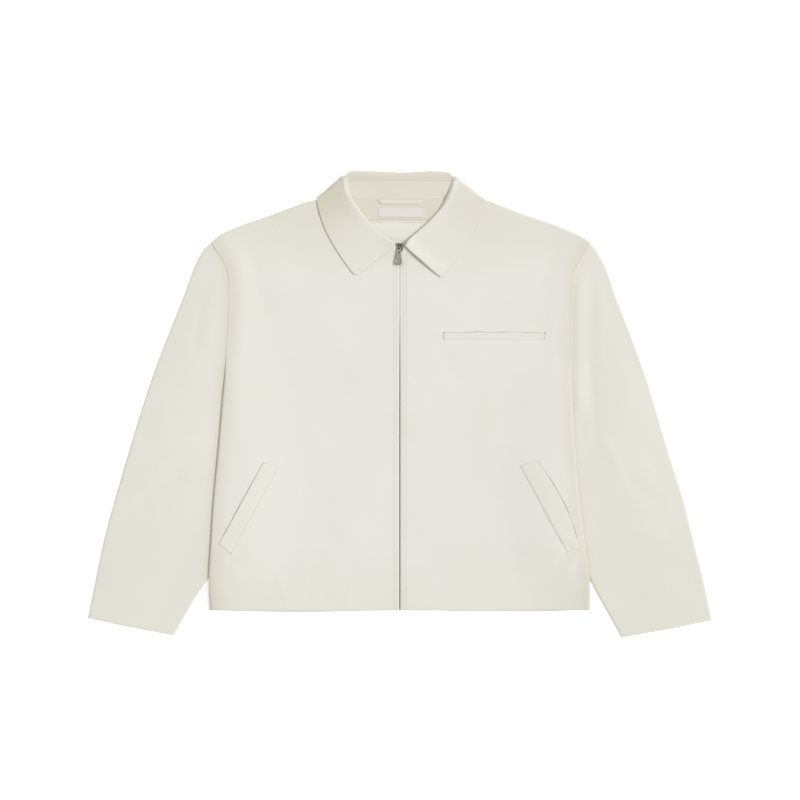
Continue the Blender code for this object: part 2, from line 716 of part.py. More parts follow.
def build_leaf(fronts, look):
    """Makes the leaf and gives the two rows of points between which the stand runs."""
    bottom = np.vstack([stand_bottom("right"), stand_bottom("left")[-2::-1]])
    bottom = np.vstack([bottom[:1]] * STAND_SKIP + [bottom] + [bottom[-1:]] * STAND_SKIP)
    halves = {side: half_leaf(side, fronts[side]) for side in SIDES}
    grid = np.concatenate([halves["right"], halves["left"][:, -2::-1]], axis=1)
    count = grid.shape[1]
    start, into = grid[0], unit(grid[1] - grid[0])
    out = unit(np.cross(np.gradient(start, axis=0), into))
    number = np.minimum(np.arange(count), np.arange(count)[::-1])
    back = np.clip((number - WING_COLUMNS - TURN_COLUMNS) / 3, 0, 1)
    radius = (NECK_ROLL + (BACK_ROLL - NECK_ROLL) * back)[:, None]
    rows = []
    for angle in np.radians([45, 90, 135, 180]):
        rows.append(start + radius * (-into * math.sin(angle) + out * (math.cos(angle) - 1)))
    to_side = np.clip((number - STAND_SKIP) / 3, 0, 1)[:, None]
    under = unit(into * (1 - to_side) + unit(bottom - rows[-1]) * to_side)
    wing_reach = np.clip(number, 0.6, 3.0)
    back_reach = (rows[-1][:, 1] - STAND_TOP_Y - SEAM) / np.maximum(-under[:, 1], 0.5)
    to_back = np.clip((number - WING_COLUMNS + 1) / (TURN_COLUMNS + 1), 0, 1)
    reach = (wing_reach + (back_reach - wing_reach) * to_back)[:, None]
    end = rows[-1] + under * reach
    grid = np.concatenate([[end, (rows[-1] + end) / 2], rows[::-1], grid])
    add_cloth("collar_leaf", grid, COLLAR_T, look)
    return end + under * SEAM, bottom


def build_stand(top, bottom, look):
    """Makes the stand between the leaf and the neckline."""
    top = top[STAND_SKIP:-STAND_SKIP]
    bottom = bottom[STAND_SKIP:-STAND_SKIP]
    rows = [top + (bottom - top) * share for share in np.linspace(0, 1, 5)]
    add_cloth("collar_stand", np.array(rows[::-1]), STAND_T, look)


def flat_patch(half_top, half_bottom, y_top, y_bottom, cells):
    """Plan of a patch across the middle of the back."""
    halves = np.linspace(half_bottom, half_top, cells + 1)
    levels = np.linspace(y_bottom, y_top, cells + 1)
    rows = [
        np.column_stack([np.linspace(-half, half, 2 * cells + 1), np.full(2 * cells + 1, y)])
        for half, y in zip(halves, levels)
    ]
    return np.array(rows)


def add_laid(name, plan, tree, gap, thickness, look):
    """A piece of cloth laid on a sheet; gives the sheet's tree of its own upper face."""
    grid = with_height(plan, lay_on(tree, plan, gap + thickness))
    add_cloth(name, grid, thickness, look)
    return surface_of(grid)


def build_neck(back, cloth, lining, trim):
    facing = flat_patch(63.0, 72.0, BACK_NECK["y"][-1] - SEAM, FACING_EDGE_Y + SEAM, 7)
    facing = add_laid("back_neck_facing", facing, back, 0.45, FACING_T, cloth)
    patch = flat_patch(72.0, 30.0, FACING_EDGE_Y, LINING_EDGE_Y, 6)
    add_laid("back_lining", patch, back, 0.45, FACING_T, lining)
    x = np.linspace(LOOP["x0"], LOOP["x1"], 17)
    share = np.linspace(-1, 1, 17)
    middle = LOOP["y"] - LOOP["width"] / 2 - LOOP["sag"] * (1 - share ** 6) * 0.5
    across = LOOP["width"] * np.array([-0.5, 0, 0.5])[:, None]
    plan = np.dstack([x[None] + 0 * across, middle[None] + across])
    add_laid("hanger_loop", plan, facing, SEAM, LOOP["thickness"], cloth)
    x, y = np.meshgrid(np.linspace(LABEL["x0"], LABEL["x1"], 7), np.linspace(LABEL["y0"], LABEL["y1"], 3))
    add_laid("neck_label", np.dstack([x, y]), facing, SEAM, LABEL["thickness"], trim)


def build_welts(fronts, look):
    for side in SIDES:
        opening = smooth_curve(side_points(WELT_OPENING, side))
        inner = smooth_curve(side_points(WELT_INNER, side))
        edges = [divide(curve, 12) for curve in (opening, inner)]
        plan = np.array([edges[0] + (edges[1] - edges[0]) * share for share in np.linspace(0, 1, 5)])
        plan = plan if side == "right" else plan[::-1]
        add_laid("pocket_welt_" + side, plan, fronts[side], 0.4, WELT_T, look)
    x = np.linspace(CHEST_WELT["x0"], CHEST_WELT["x1"], 15)
    y = np.linspace(CHEST_WELT["y0"], CHEST_WELT["y1"], 3)
    add_laid("chest_welt", np.dstack(np.meshgrid(x, y)), fronts["left"], 0.4, WELT_T, look)


def build_zip(tape_look, metal):
    bm = bmesh.new()
    bottom = HEM["y"][3] + 0.5
    size = (2 * CHAIN["half_width"], CHAIN["top"] - bottom, CHAIN["z1"] - CHAIN["z0"])
    bmesh.ops.create_cube(bm, size=1.0, matrix=Matrix.Diagonal((*size, 1)))
    middle = (0, (CHAIN["top"] + bottom) / 2, (CHAIN["z0"] + CHAIN["z1"]) / 2)
    bmesh.ops.translate(bm, verts=bm.verts, vec=middle)
    add_object("zip_chain", bm, metal, middle)
    y = np.array([bottom, -100.0, 100.0, 224.0, 236.0, TAPE["top"]])
    spread = np.interp(y, ZIP_EDGE["y"], ZIP_EDGE["x"])
    inner = np.maximum(TAPE["inner"], spread)
    for side, sign in SIDES.items():
        edges = [np.column_stack([sign * inner, y]), np.column_stack([sign * (TAPE["outer"] + 0 * y), y])]
        plan = np.stack(edges if side == "left" else edges[::-1], axis=1)
        grid = with_height(plan, np.full(plan.shape[:2], TAPE["z"] + TAPE_T))
        add_cloth("zip_tape_" + side, grid, TAPE_T, tape_look)


def build_slider(metal):
    """The slider's body, narrower towards the closed zip, with the bridge that the tab hangs from."""
    bm = bmesh.new()
    middle = (SLIDER["top"] + SLIDER["bottom"]) / 2
    size = (2 * SLIDER["half_top"], SLIDER["top"] - SLIDER["bottom"], SLIDER["z1"] - SLIDER["z0"])
    bmesh.ops.create_cube(bm, size=1.0, matrix=Matrix.Diagonal((*size, 1)))
    bmesh.ops.translate(bm, verts=bm.verts, vec=(0, middle, (SLIDER["z0"] + SLIDER["z1"]) / 2))
    for vert in bm.verts:
        if vert.co.y < middle:
            vert.co.x *= SLIDER["half_bottom"] / SLIDER["half_top"]
    bmesh.ops.bevel(bm, geom=bm.edges[:], offset=0.8, segments=2, affect="EDGES", profile=0.5)
    slider = add_object("zip_slider", bm, metal, (0, middle, SLIDER["z0"]))
    rings = []
    for angle in np.linspace(0, math.pi, 13):
        ring = []
        for shrink in (0.0, BRIDGE["bar"]):
            y = BRIDGE["y"] + (BRIDGE["half_length"] - shrink) * math.cos(angle)
            z = SLIDER["z1"] - 0.3 + (BRIDGE["height"] + 0.3 - shrink) * math.sin(angle)
            ring.append((y, z))
        rings.append(ring)
    rows = []
    for (y0, z0), (y1, z1) in rings:
        half = BRIDGE["half_width"]
        rows.append([(-half, y0, z0), (half, y0, z0), (half, y1, z1), (-half, y1, z1)])
    arch = sheet_mesh(rows, tube=True)
    bmesh.ops.holes_fill(arch, edges=arch.edges)
    bmesh.ops.recalc_face_normals(arch, faces=arch.faces)
    bridge = add_object("slider_bridge", arch, metal)
    bridge.hide_render = True
    bridge.display_type = "WIRE"
    union = slider.modifiers.new("Bridge", "BOOLEAN")
    union.operation = "UNION"
    union.object = bridge


def build_pull(metal):
    """The tab with its eye; the origin is on the hinge axis."""
    axis = np.array([0, PULL["axis_y"], PULL["axis_z"]])
    pin, arm, length = PULL["pin"], PULL["arm"], PULL["length"]
    lengths = [pin, -pin, -arm, -length * 0.6, -length + 1.4, -length + 0.4, -length]
    top, end = PULL["half_top"], PULL["half_end"]
    halves = [top, top, top + 0.1, 3.8, end, end - 0.5, end - 1.6]
    rows = []
    for away, half in zip(lengths, halves):
        rows.append([(x, away, pin) for x in (-half, -PULL_EYE, PULL_EYE, half)])
    bm = sheet_mesh(rows[::-1])
    bm.faces.ensure_lookup_table()
    bmesh.ops.delete(bm, geom=[bm.faces[-5]], context="FACES_ONLY")
    sides = bmesh.ops.extrude_face_region(bm, geom=bm.faces[:])
    moved = [v for v in sides["geom"] if isinstance(v, bmesh.types.BMVert)]
    bmesh.ops.translate(bm, verts=moved, vec=(0, 0, -2 * pin))
    bmesh.ops.recalc_face_normals(bm, faces=bm.faces)
    bmesh.ops.rotate(bm, verts=bm.verts, matrix=Matrix.Rotation(math.radians(PULL_TILT), 3, "X"))
    bmesh.ops.translate(bm, verts=bm.verts, vec=axis)
    add_object("pull_tab", bm, metal, axis)


def main():
    for old in list(bpy.data.objects):
        bpy.data.objects.remove(old)
    cloth = material("Cream cotton twill", CLOTH)
    lining = material("Pale lining", LINING, roughness=0.6)
    trim = material("Woven label and tape", TRIM)
    dark = material("Dark plated zinc", DARK_METAL, 1.0, 0.4)
    bright = material("Brushed nickel", PULL_METAL, 1.0, 0.35)
    back = build_back(cloth)
    fronts = {side: build_front(side, cloth) for side in SIDES}
    for side in SIDES:
        build_sleeve(side, cloth)
    build_stand(*build_leaf(fronts, cloth), cloth)
    build_neck(back, cloth, lining, trim)
    build_welts(fronts, cloth)
    build_zip(trim, dark)
    build_slider(dark)
    build_pull(bright)


main()
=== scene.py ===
"""Looks of a cream zip jacket that lies flat, front up, with its arms down at its sides.

Lengths are millimetres until a mesh is made. +X is the wearer's left, +Y is towards the neck,
+Z is up, and the table is z = 0. "Right" and "left" are the wearer's.
"""
import math

import bmesh
import bpy
import numpy as np
from mathutils import Matrix, Vector


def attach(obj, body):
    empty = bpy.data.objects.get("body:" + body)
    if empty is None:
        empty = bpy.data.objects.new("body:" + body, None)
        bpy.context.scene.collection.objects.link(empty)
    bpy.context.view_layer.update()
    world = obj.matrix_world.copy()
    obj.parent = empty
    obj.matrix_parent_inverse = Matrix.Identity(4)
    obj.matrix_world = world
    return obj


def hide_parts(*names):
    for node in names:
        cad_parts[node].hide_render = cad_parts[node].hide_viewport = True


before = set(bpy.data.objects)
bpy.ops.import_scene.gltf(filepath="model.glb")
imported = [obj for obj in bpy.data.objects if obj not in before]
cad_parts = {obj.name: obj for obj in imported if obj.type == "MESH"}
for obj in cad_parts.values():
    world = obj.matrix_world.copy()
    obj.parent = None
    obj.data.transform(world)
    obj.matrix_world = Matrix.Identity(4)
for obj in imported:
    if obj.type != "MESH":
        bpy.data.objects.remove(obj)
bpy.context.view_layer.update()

MM = 0.001
SEAM = 0.3  # gap between two pieces that are sewn together
SIDES = {"right": -1.0, "left": 1.0}
CENTRE = (0.4, 1.3, 0.0)  # from the tables' origin to the middle of the jacket's box

# Cloth thickness
BACK_T = 1.6
FRONT_T = 1.5
SLEEVE_T = 1.4
COLLAR_T = 1.6
STAND_T = 1.4
FACING_T = 0.9
TAPE_T = 0.6

# How the layers lie on each other
BODY_GAP = 1.9
OVERHANG = 4.0
ROLL = {"right": 4.0, "left": 5.0}  # width of the rounded side edge of a front
TOP_ROLL = 4.0  # the same at the shoulders
TUBE_EDGE = 3.0
SLEEVE_END = 5.0
SLEEVE_LIFT = 5.6
LEAF_LIFT = 2.2
FOLD_TOP = {"neck": 14.6, "outer": 9.8}  # height of the leaf's fold round the shoulder
BACK_RAMP = 42.0
FRONT_RAMP = 92.0
ROLL_R = {"zip": 2.2, "neck": 7.0}  # radius of the leaf's roll, from the zip to behind the neck


def table(columns, *rows):
    """A table with named columns, each as an array."""
    return {name: np.array([row[i] for row in rows], float) for i, name in enumerate(columns)}


# Half widths of the body at its sides, from the hem to the shoulder tip
BODY_EDGE = table(
    ("y", "right", "left"),
    (-319, 295.5, 293.5),
    (-269, 296.5, 292.5),
    (-218, 293.5, 286),
    (-149, 289, 277.5),
    (-71, 281.5, 270.5),
    (6, 275, 266),
    (60, 270.5, 265),
    (115, 266.5, 264.5),
    (161, 265, 265),
    (200, 266, 268.5),
    (224, 275.5, 279.5),
    (241, 286.5, 289),
    (249.5, 292, 294.5),
)
UNDERARM_Y = 6.0

# Outer edge of the sleeves, from the shoulder tip to the cuff
SLEEVE_OUTER = table(
    ("y", "right", "left"),
    (239, 304.2, 303.2),
    (208, 320.2, 319.6),
    (161, 337.4, 335.9),
    (99, 362.4, 359.8),
    (37, 385.5, 382.1),
    (-25, 405.5, 401.1),
    (-87, 424.2, 419.3),
    (-149, 442.2, 439),
    (-211, 458.8, 454.2),
    (-273, 471.7, 469.7),
    (-333.5, 483.6, 482.8),
)
# Inner edge of the sleeves, from below the underarm to the cuff; its upper part lies under the body
SLEEVE_INNER = table(
    ("y", "right", "left"),
    (-30, 269, 260),
    (-87, 250, 241),
    (-149, 249, 242),
    (-211, 267, 263),
    (-269, 296.5, 292.5),
    (-304, 318.5, 311),
    (-360.5, 350, 343),
)
# Height of a sleeve along its length
SLEEVE_BODY = table(
    ("share", "edge", "crown"),
    (0, 4.6, 0.4),
    (0.12, 4.6, 1.7),
    (0.5, 4.6, 2.1),
    (0.9, 4.6, 1.5),
    (1, 4.4, 0.9),
)
CROWN_SHARE = 0.74  # the crown ends at this share of the width, before the hidden part

# Shoulder line and neckline, as half widths
SHOULDER = table(
    ("x", "y"),
    (277, 262),
    (262.7, 269.5),
    (243.6, 277.3),
    (198.7, 293),
    (157.3, 308.3),
    (137, 315),
    (127, 315),
    (108, 320),
    (93, 326),
)
BACK_NECK = table(("x", "y"), (93, 326), (80, 318.5), (64, 316.2), (30, 316), (0, 316))
FRONT_NECK = table(
    ("x", "y"),
    (93, 326),
    (91.5, 309),
    (83, 288),
    (67, 268),
    (46, 253),
    (26, 247),
    (9, 249.5),
)
HEM = table(
    ("x", "y"),
    (-295.5, -319.5),
    (-180, -322.3),
    (-120, -322),
    (0, -319.5),
    (100, -321),
    (215, -321.5),
    (293.5, -318.5),
)
# Line that the inner edge of a zip tape follows where it opens round the slider
ZIP_EDGE = table(("y", "x"), (-320, 1.2), (205, 1.2), (224, 1.9), (236, 5.8), (249.5, 7.5))

# Collar leaf, as half widths from the front end to the back
ROLL_LINE = table(
    ("right_x", "right_y", "left_x", "left_y"),
    (9.5, 249.5, 8.6, 249.5),
    (19.8, 257.3, 17.8, 259.3),
    (35.7, 269.1, 33.6, 273.1),
    (51.9, 286.8, 51.5, 290.9),
    (67.4, 306.9, 65.3, 308.8),
    (79.8, 328.6, 76.1, 332.5),
    (82, 344, 78.5, 346),
)
LEAF_FRONT = table(
    ("right_x", "right_y", "left_x", "left_y"),
    (13, 241.3, 9.5, 242.5),
    (35.7, 223.2, 34.5, 220),
    (55.3, 207.7, 53, 203.5),
    (65, 200, 62.8, 196.2),
)
LEAF_OUTER = table(
    ("right_x", "right_y", "left_x", "left_y"),
    (72.1, 201.5, 68.5, 200.5),
    (85.1, 217.8, 90.7, 229.4),
    (100.9, 241.8, 104, 249.5),
    (114.7, 266.6, 114, 269),
    (124.8, 294.5, 124.5, 295),
    (129, 316, 131.5, 313.5),
)
# Fold of the leaf round the shoulder, from the neck outwards
LEAF_FOLD = table(
    ("right_x", "right_y", "left_x", "left_y"),
    (84.5, 357.4, 80.5, 358),
    (90.9, 352.2, 86.8, 353),
    (99, 345.2, 94.6, 346),
    (108.2, 337.4, 104.5, 338.4),
    (116.6, 329.8, 114.1, 330.7),
    (125.8, 322.4, 123.2, 323.1),
    (129.8, 318.6, 132.3, 317.3),
)
# Line behind the neck round which the leaf rolls, as half widths
BACK_ROLL_LINE = table(
    ("right_x", "right_y", "left_x", "left_y"),
    (86.6, 350, 82.6, 350.2),
    (80, 354.2, 75.8, 353.4),
    (62, 354, 62, 354),
    (46, 353.8, 46, 353.8),
    (28, 352.3, 28, 352.3),
    (0, 351.3, 0, 351.3),
)
LEAF_BACK_Y = 291.0  # hidden outer edge of the leaf behind the neck
STAND_TOP_Y = 344.0  # seam between the leaf and the stand behind the neck

FACING_EDGE_Y = 283.0

# Corners of the side welts: the opening edge from the top down, then the inner edge
WELT_OPENING = table(
    ("right_x", "right_y", "left_x", "left_y"),
    (210.8, -89.1, 210.5, -86.8),
    (233, -129.5, 236.5, -124.8),
    (258, -175.5, 261, -172),
    (280.7, -217.2, 276, -221),
)
WELT_INNER = table(
    ("right_x", "right_y", "left_x", "left_y"),
    (185.8, -96.7, 184.5, -95),
    (210, -140.5, 208.5, -139.5),
    (236, -187.5, 235.4, -189.6),
    (260.6, -232.5, 258.7, -230.6),
)
CHEST_WELT = {"x0": 66.5, "x1": 225.0, "y0": 99.8, "y1": 110.8}

LOOP = {"x0": -36.5, "x1": 37.5, "y": 315.0, "width": 4.6, "thickness": 1.4}
LABEL = {"x0": -34.4, "x1": 37.4, "y0": 289.4, "y1": 303.8}

CHAIN = {"z0": 2.2, "z1": 3.2, "top": 237.0}
TAPE = {"inner": 2.6, "outer": 13.0, "z": 2.3, "top": 249.5}
SLIDER = {"top": 248.6, "bottom": 237.4, "half_top": 4.8, "half_bottom": 3.6, "z0": 3.1, "z1": 6.2}
BRIDGE = {"y": 242.0, "half_width": 0.9, "half_length": 3.4, "height": 3.2, "bar": 0.8}
PULL = {"axis_y": 241.5, "axis_z": 7.1}  # the line on which the tab swings

# Soft troughs (negative) and ridges in the upper cloth: ends, half width across, height
FOLDS = table(
    ("x0", "y0", "x1", "y1", "spread", "height"),
    (-250, 215, -225, 40, 26, 0.4),
    (-215, -60, -245, -250, 30, 0.3),
    (-60, -318, -95, -215, 16, -0.3),
    (150, -318, 175, -235, 18, -0.3),
    (-330, 120, -372, -40, 22, 0.6),
    (335, 110, 372, -40, 22, 0.6),
    (-345, -110, -395, -150, 13, -0.8),
    (350, -120, 398, -155, 13, -0.8),
)


# ---------------------------------------------------------------- curves

def smooth_curve(points, spans=14):
    """Dense points on a Catmull-Rom curve through the given points."""
    p = np.array(points, float)
    p = np.vstack([2 * p[0] - p[1], p, 2 * p[-1] - p[-2]])
    t = np.linspace(0, 1, spans, endpoint=False)[:, None]
    runs = []
    for a, b, c, d in zip(p, p[1:], p[2:], p[3:]):
        bend = (2 * a - 5 * b + 4 * c - d) * t ** 2 + (3 * b - a - 3 * c + d) * t ** 3
        runs.append(0.5 * (2 * b + (c - a) * t + bend))
    return np.vstack(runs + [p[-2:-1]])


def run_length(curve):
    """Distance along a curve at each of its points."""
    steps = np.linalg.norm(np.diff(curve, axis=0), axis=1)
    return np.concatenate([[0.0], np.cumsum(steps)])


def at_distances(curve, distances):
    """Points of a curve at the given distances along it."""
    along = run_length(curve)
    return np.array([np.interp(distances, along, curve[:, i]) for i in range(curve.shape[1])]).T


def divide(curve, cells, start=(), end=()):
    """Evenly spaced points of a curve, with closer ones at given distances from its two ends."""
    total = run_length(curve)[-1]
    first = max(start) if start else 0.0
    last = total - (max(end) if end else 0.0)
    middle = np.linspace(first, last, cells + 1)
    head = sorted(d for d in start if d < first)
    tail = sorted(total - d for d in end if total - d > last)
    return at_distances(curve, np.concatenate([head, middle, tail]))


def inset(curve, distance):
    """The curve moved to its left by a distance."""
    along = np.gradient(curve, axis=0)
    along /= np.linalg.norm(along, axis=1)[:, None]
    return curve + distance * np.column_stack([-along[:, 1], along[:, 0]])


def crossing(first, second):
    """Where the straight lines through two pairs of points cross."""
    a, b = first[1] - first[0], second[1] - second[0]
    share = np.linalg.solve(np.column_stack([a, -b]), second[0] - first[0])[0]
    return first[0] + share * a


def points(rows, side, x, y):
    """Points from two columns, with x as a half width on the given side."""
    return np.column_stack([SIDES[side] * rows[x], rows[y]])


def side_points(rows, side):
    """Points of a table whose columns are right_x, right_y, left_x and left_y."""
    return points(rows, side, side + "_x", side + "_y")


def coons(bottom, top, left, right):
    """Grid of points between four border curves; rows go from bottom to top."""
    u = (run_length(bottom) / run_length(bottom)[-1] + run_length(top) / run_length(top)[-1]) / 2
    v = (run_length(left) / run_length(left)[-1] + run_length(right) / run_length(right)[-1]) / 2
    u = u[None, :, None]
    v = v[:, None, None]
    across = (1 - u) * left[:, None] + u * right[:, None]
    along = (1 - v) * bottom[None] + v * top[None]
    corners = (1 - u) * (1 - v) * bottom[0] + u * (1 - v) * bottom[-1]
    corners = corners + (1 - u) * v * top[0] + u * v * top[-1]
    return across + along - corners


END_REACH = {"top": 0.3, "bottom": 0.15}  # share of the length over which an end's shape is taken


def ruled(left, right, across, top, bottom):
    """Rows straight from left to right that take the shape of the top and bottom curves near them."""
    rows = left[:, None] + across[..., None] * (right - left)[:, None]
    v = np.linspace(0, 1, len(left))[:, None, None]
    near_top = np.clip(1 - v / END_REACH["top"], 0, 1) ** 2
    near_bottom = np.clip(1 - (1 - v) / END_REACH["bottom"], 0, 1) ** 2
    top = at_distances(top, across[0] * run_length(top)[-1])
    bottom = at_distances(bottom, across[-1] * run_length(bottom)[-1])
    return rows + near_top * (top[None] - rows[:1]) + near_bottom * (bottom[None] - rows[-1:])


# ---------------------------------------------------------------- heights

def distance_to(line, x, y):
    """Distance in plan from each point to a polyline."""
    p = np.stack([x, y], axis=-1)[..., None, :]
    a = line[:-1]
    ab = line[1:] - a
    t = np.clip(((p - a) * ab).sum(-1) / np.maximum((ab ** 2).sum(-1), 1e-9), 0, 1)
    return np.linalg.norm(p - a - t[..., None] * ab, axis=-1).min(-1)


def inside(outline, x, y):
    """Which points lie inside a closed outline."""
    result = np.zeros(np.shape(x), bool)
    for (x0, y0), (x1, y1) in zip(outline, np.roll(outline, -1, axis=0)):
        crosses = (y0 > y) != (y1 > y)
        edge_x = x0 + (y - y0) / (y1 - y0 if y1 != y0 else 1.0) * (x1 - x0)
        result ^= crosses & (x < edge_x)
    return result


def ease(t):
    """A share that leaves 0 and reaches 1 gently, and is cut off beyond them."""
    t = np.clip(t, 0, 1)
    return t * t * (3 - 2 * t)


def nearness(outline, x, y, flat, ramp):
    """1 inside an outline and up to flat outside it, then easing to 0 over the ramp."""
    away = distance_to(np.vstack([outline, outline[:1]]), x, y)
    away = np.where(inside(outline, x, y), 0.0, away)
    return 1 - ease((away - flat) / ramp)


def larger(*heights):
    """A rounded maximum of heights that are 0 or more."""
    return sum(h ** 5 for h in heights) ** 0.2


def creases(x, y, rows):
    """Height of the folds or creases of a table, each fading at its ends."""
    total = np.zeros(np.shape(x))
    for x0, y0, x1, y1, spread, height in zip(*rows.values()):
        away = distance_to(np.array([[x0, y0], [x1, y1]]), x, y)
        total += height * np.exp(-(away / spread) ** 2)
    return total


EDGES = {side: smooth_curve(points(BODY_EDGE, side, side, "y")) for side in SIDES}
SEAM_CELLS = {"below": 9, "above": 12}  # below the underarm and above it


def seam_distances(side):
    """Distances of the seam points along the body's side edge, from the hem to the shoulder tip."""
    along = run_length(EDGES[side])
    underarm = np.interp(UNDERARM_Y, EDGES[side][:, 1], along)
    below = np.linspace(0, underarm, SEAM_CELLS["below"] + 1)
    above = np.linspace(underarm, along[-1], SEAM_CELLS["above"] + 1)
    return np.concatenate([below, above[1:]])


def body_edge(side):
    """Plan of the body's side edge at the seam points."""
    return at_distances(EDGES[side], seam_distances(side))


def armhole(side):
    """Plan of the armhole seam on the sleeve, from the shoulder tip to the underarm."""
    edge = inset(body_edge(side), SIDES[side] * (OVERHANG - SEAM))
    return edge[:SEAM_CELLS["below"] - 1:-1]


CUFF_SHIFT = {"right": 2.4, "left": -1.0}
CUFF_FADE = {"y": -250.0, "length": 80.0}  # where that shift begins, and how soon it is whole


def sleeve_points(rows, side):
    """Points of one of a sleeve's edges; the two cuffs don't end at quite the same height."""
    line = points(rows, side, side, "y")
    line[:, 1] += CUFF_SHIFT[side] * np.clip((CUFF_FADE["y"] - line[:, 1]) / CUFF_FADE["length"], 0, 1)
    return line


def sleeve_inner(side):
    """Plan of the sleeve's inner edge, from the underarm to the cuff."""
    return smooth_curve(np.vstack([armhole(side)[-1:], sleeve_points(SLEEVE_INNER, side)]))


def sleeve_outer(side):
    """Plan of the sleeve's outer edge, from the shoulder tip to the cuff."""
    return smooth_curve(np.vstack([armhole(side)[:1], sleeve_points(SLEEVE_OUTER, side)]))


SHOULDER_SHIFT = {"right": 0.5, "left": -1.1}
SHIFTED_ROWS = 5  # rows of the shoulder table that it moves


def shoulder_line(side):
    """Plan of the shoulder from its tip to the neck; the two sides don't lie quite alike."""
    line = points(SHOULDER, side, "x", "y")
    line[:SHIFTED_ROWS, 1] += SHOULDER_SHIFT[side]
    return line


def sleeve_outline(side):
    return np.vstack([sleeve_outer(side), sleeve_inner(side)[::-1], armhole(side)[::-1]])


HIDDEN_ROW = 4  # row of the inner edge's table at which the sleeve comes out from under the body


def hidden_outline(side):
    """The part of a sleeve that lies under the body."""
    inner = sleeve_inner(side)
    edge = EDGES[side]
    lowest = SLEEVE_INNER["y"][HIDDEN_ROW]
    inner = inner[inner[:, 1] > lowest]
    edge = edge[(edge[:, 1] > lowest) & (edge[:, 1] < UNDERARM_Y)]
    return np.vstack([inner, edge])


LEAF_BACK = table(("x", "y"), (105, 302), (62, 293.5), (0, LEAF_BACK_Y))


def leaf_back_edge(side):
    """Plan of the leaf's hidden outer edge, from the shoulder fold to the middle of the back."""
    return smooth_curve(np.vstack([side_points(LEAF_FOLD, side)[-1:], points(LEAF_BACK, side, "x", "y")]))


def leaf_outline():
    """The part of the collar that lies under the back."""
    right = np.vstack([side_points(LEAF_FOLD, "right"), leaf_back_edge("right")])
    left = np.vstack([side_points(LEAF_FOLD, "left"), leaf_back_edge("left")])
    return np.vstack([right, left[::-1]])


HIDDEN = {side: hidden_outline(side) for side in SIDES}
SLEEVES = {side: sleeve_outline(side) for side in SIDES}
LEAF_UNDER = leaf_outline()


# How far beyond what is under a panel the panel is still held up, and the ramp of a front beside a sleeve
HELD = {"hidden_sleeve": 12, "leaf": 10, "sleeve": 5.0}
SLEEVE_RAMP = 40.0
# Height of a front's outer face above the end of a sleeve, and of its rim above the table and the sleeve's end
FRONT_RISE = 0.5
LIP = {"table": 0.9, "sleeve": 1.0}


def body_lift(x, y, ramp=BACK_RAMP):
    """Height of the back panel's underside above the table."""
    sleeves = [SLEEVE_LIFT * nearness(HIDDEN[side], x, y, HELD["hidden_sleeve"], ramp) for side in SIDES]
    return larger(LEAF_LIFT * nearness(LEAF_UNDER, x, y, HELD["leaf"], ramp), *sleeves)


def back_top(x, y):
    return body_lift(x, y) + BACK_T


def over_sleeves(x, y):
    """1 where a front lies on the upper cloth of a sleeve, easing to 0 beside it."""
    return larger(*[nearness(SLEEVES[side], x, y, HELD["sleeve"], SLEEVE_RAMP) for side in SIDES])


def front_top(x, y):
    """Height of the outer face of the fronts, without their rounded edges."""
    rest = BACK_T + BODY_GAP
    rise = (SLEEVE_END + FRONT_RISE - rest) * over_sleeves(x, y)
    return rest + FRONT_T + larger(body_lift(x, y, FRONT_RAMP), rise) + creases(x, y, FOLDS)


def front_lip(x, y):
    """Height of the outer rim of a front at its rounded edge."""
    return larger(LIP["table"] + body_lift(x, y), (SLEEVE_END + LIP["sleeve"]) * over_sleeves(x, y))


# ---------------------------------------------------------------- small creases

# Soft troughs (negative) and ridges too small for the solids: ends, half width across, height
CREASES = table(
    ("x0", "y0", "x1", "y1", "spread", "height"),
    (-262, -244, -232, -262, 4.5, -0.7),
    (-258, -256, -205, -276, 6, 0.5),
    (-150, -300, -128, -236, 7, -0.5),
    (-172, -312, -190, -268, 6, 0.4),
    (-96, -316, -84, -282, 5, -0.35),
    (70, -300, 128, -262, 9, 0.4),
    (130, -230, 215, -236, 8, -0.35),
    (262, -222, 244, -250, 4, -0.9),
    (272, -232, 258, -262, 4.5, 0.8),
    (250, -205, 272, -214, 3, 0.7),
    (246, -216, 268, -226, 3, -0.7),
    (60, 92, 84, 40, 9, -0.35),
    (228, 96, 236, 60, 8, 0.3),
    (-120, 190, -96, 90, 18, 0.35),
    (120, 210, 96, 140, 16, 0.3),
    (-236, 236, -200, 120, 12, -0.3),
    (232, 232, 214, 130, 12, -0.35),
    (60, 190, 92, 150, 10, -0.3),
    (-60, -40, -70, -190, 26, 0.3),
    (140, 30, 150, -120, 24, 0.3),
)
# The same on the sleeves
SLEEVE_CREASES = table(
    ("x0", "y0", "x1", "y1", "spread", "height"),
    (-300, 190, -318, 90, 9, -0.5),
    (-290, 120, -330, 40, 12, 0.5),
    (-372, 84, -396, 20, 9, -0.6),
    (-330, -60, -375, -95, 9, 0.5),
    (-345, -120, -395, -140, 8, -0.6),
    (-380, -170, -440, -200, 12, 0.5),
    (-330, -205, -372, -240, 10, -0.4),
    (-372, -262, -440, -290, 14, 0.4),
    (306, 190, 312, 60, 10, 0.5),
    (292, 60, 300, -60, 8, -0.6),
    (340, 120, 372, 30, 12, -0.4),
    (318, -60, 352, -130, 9, 0.6),
    (380, -70, 408, -120, 11, -0.5),
    (330, -180, 400, -210, 12, 0.5),
    (392, -238, 448, -262, 13, -0.4),
)
# Ridge of the left sleeve beside the body, where its cap stands up against the armhole
CAP_RIDGE = {"away": 11.0, "spread": 12.0, "height": 2.4, "y0": -30.0, "y1": 215.0, "fade": 40.0}


# ---------------------------------------------------------------- materials

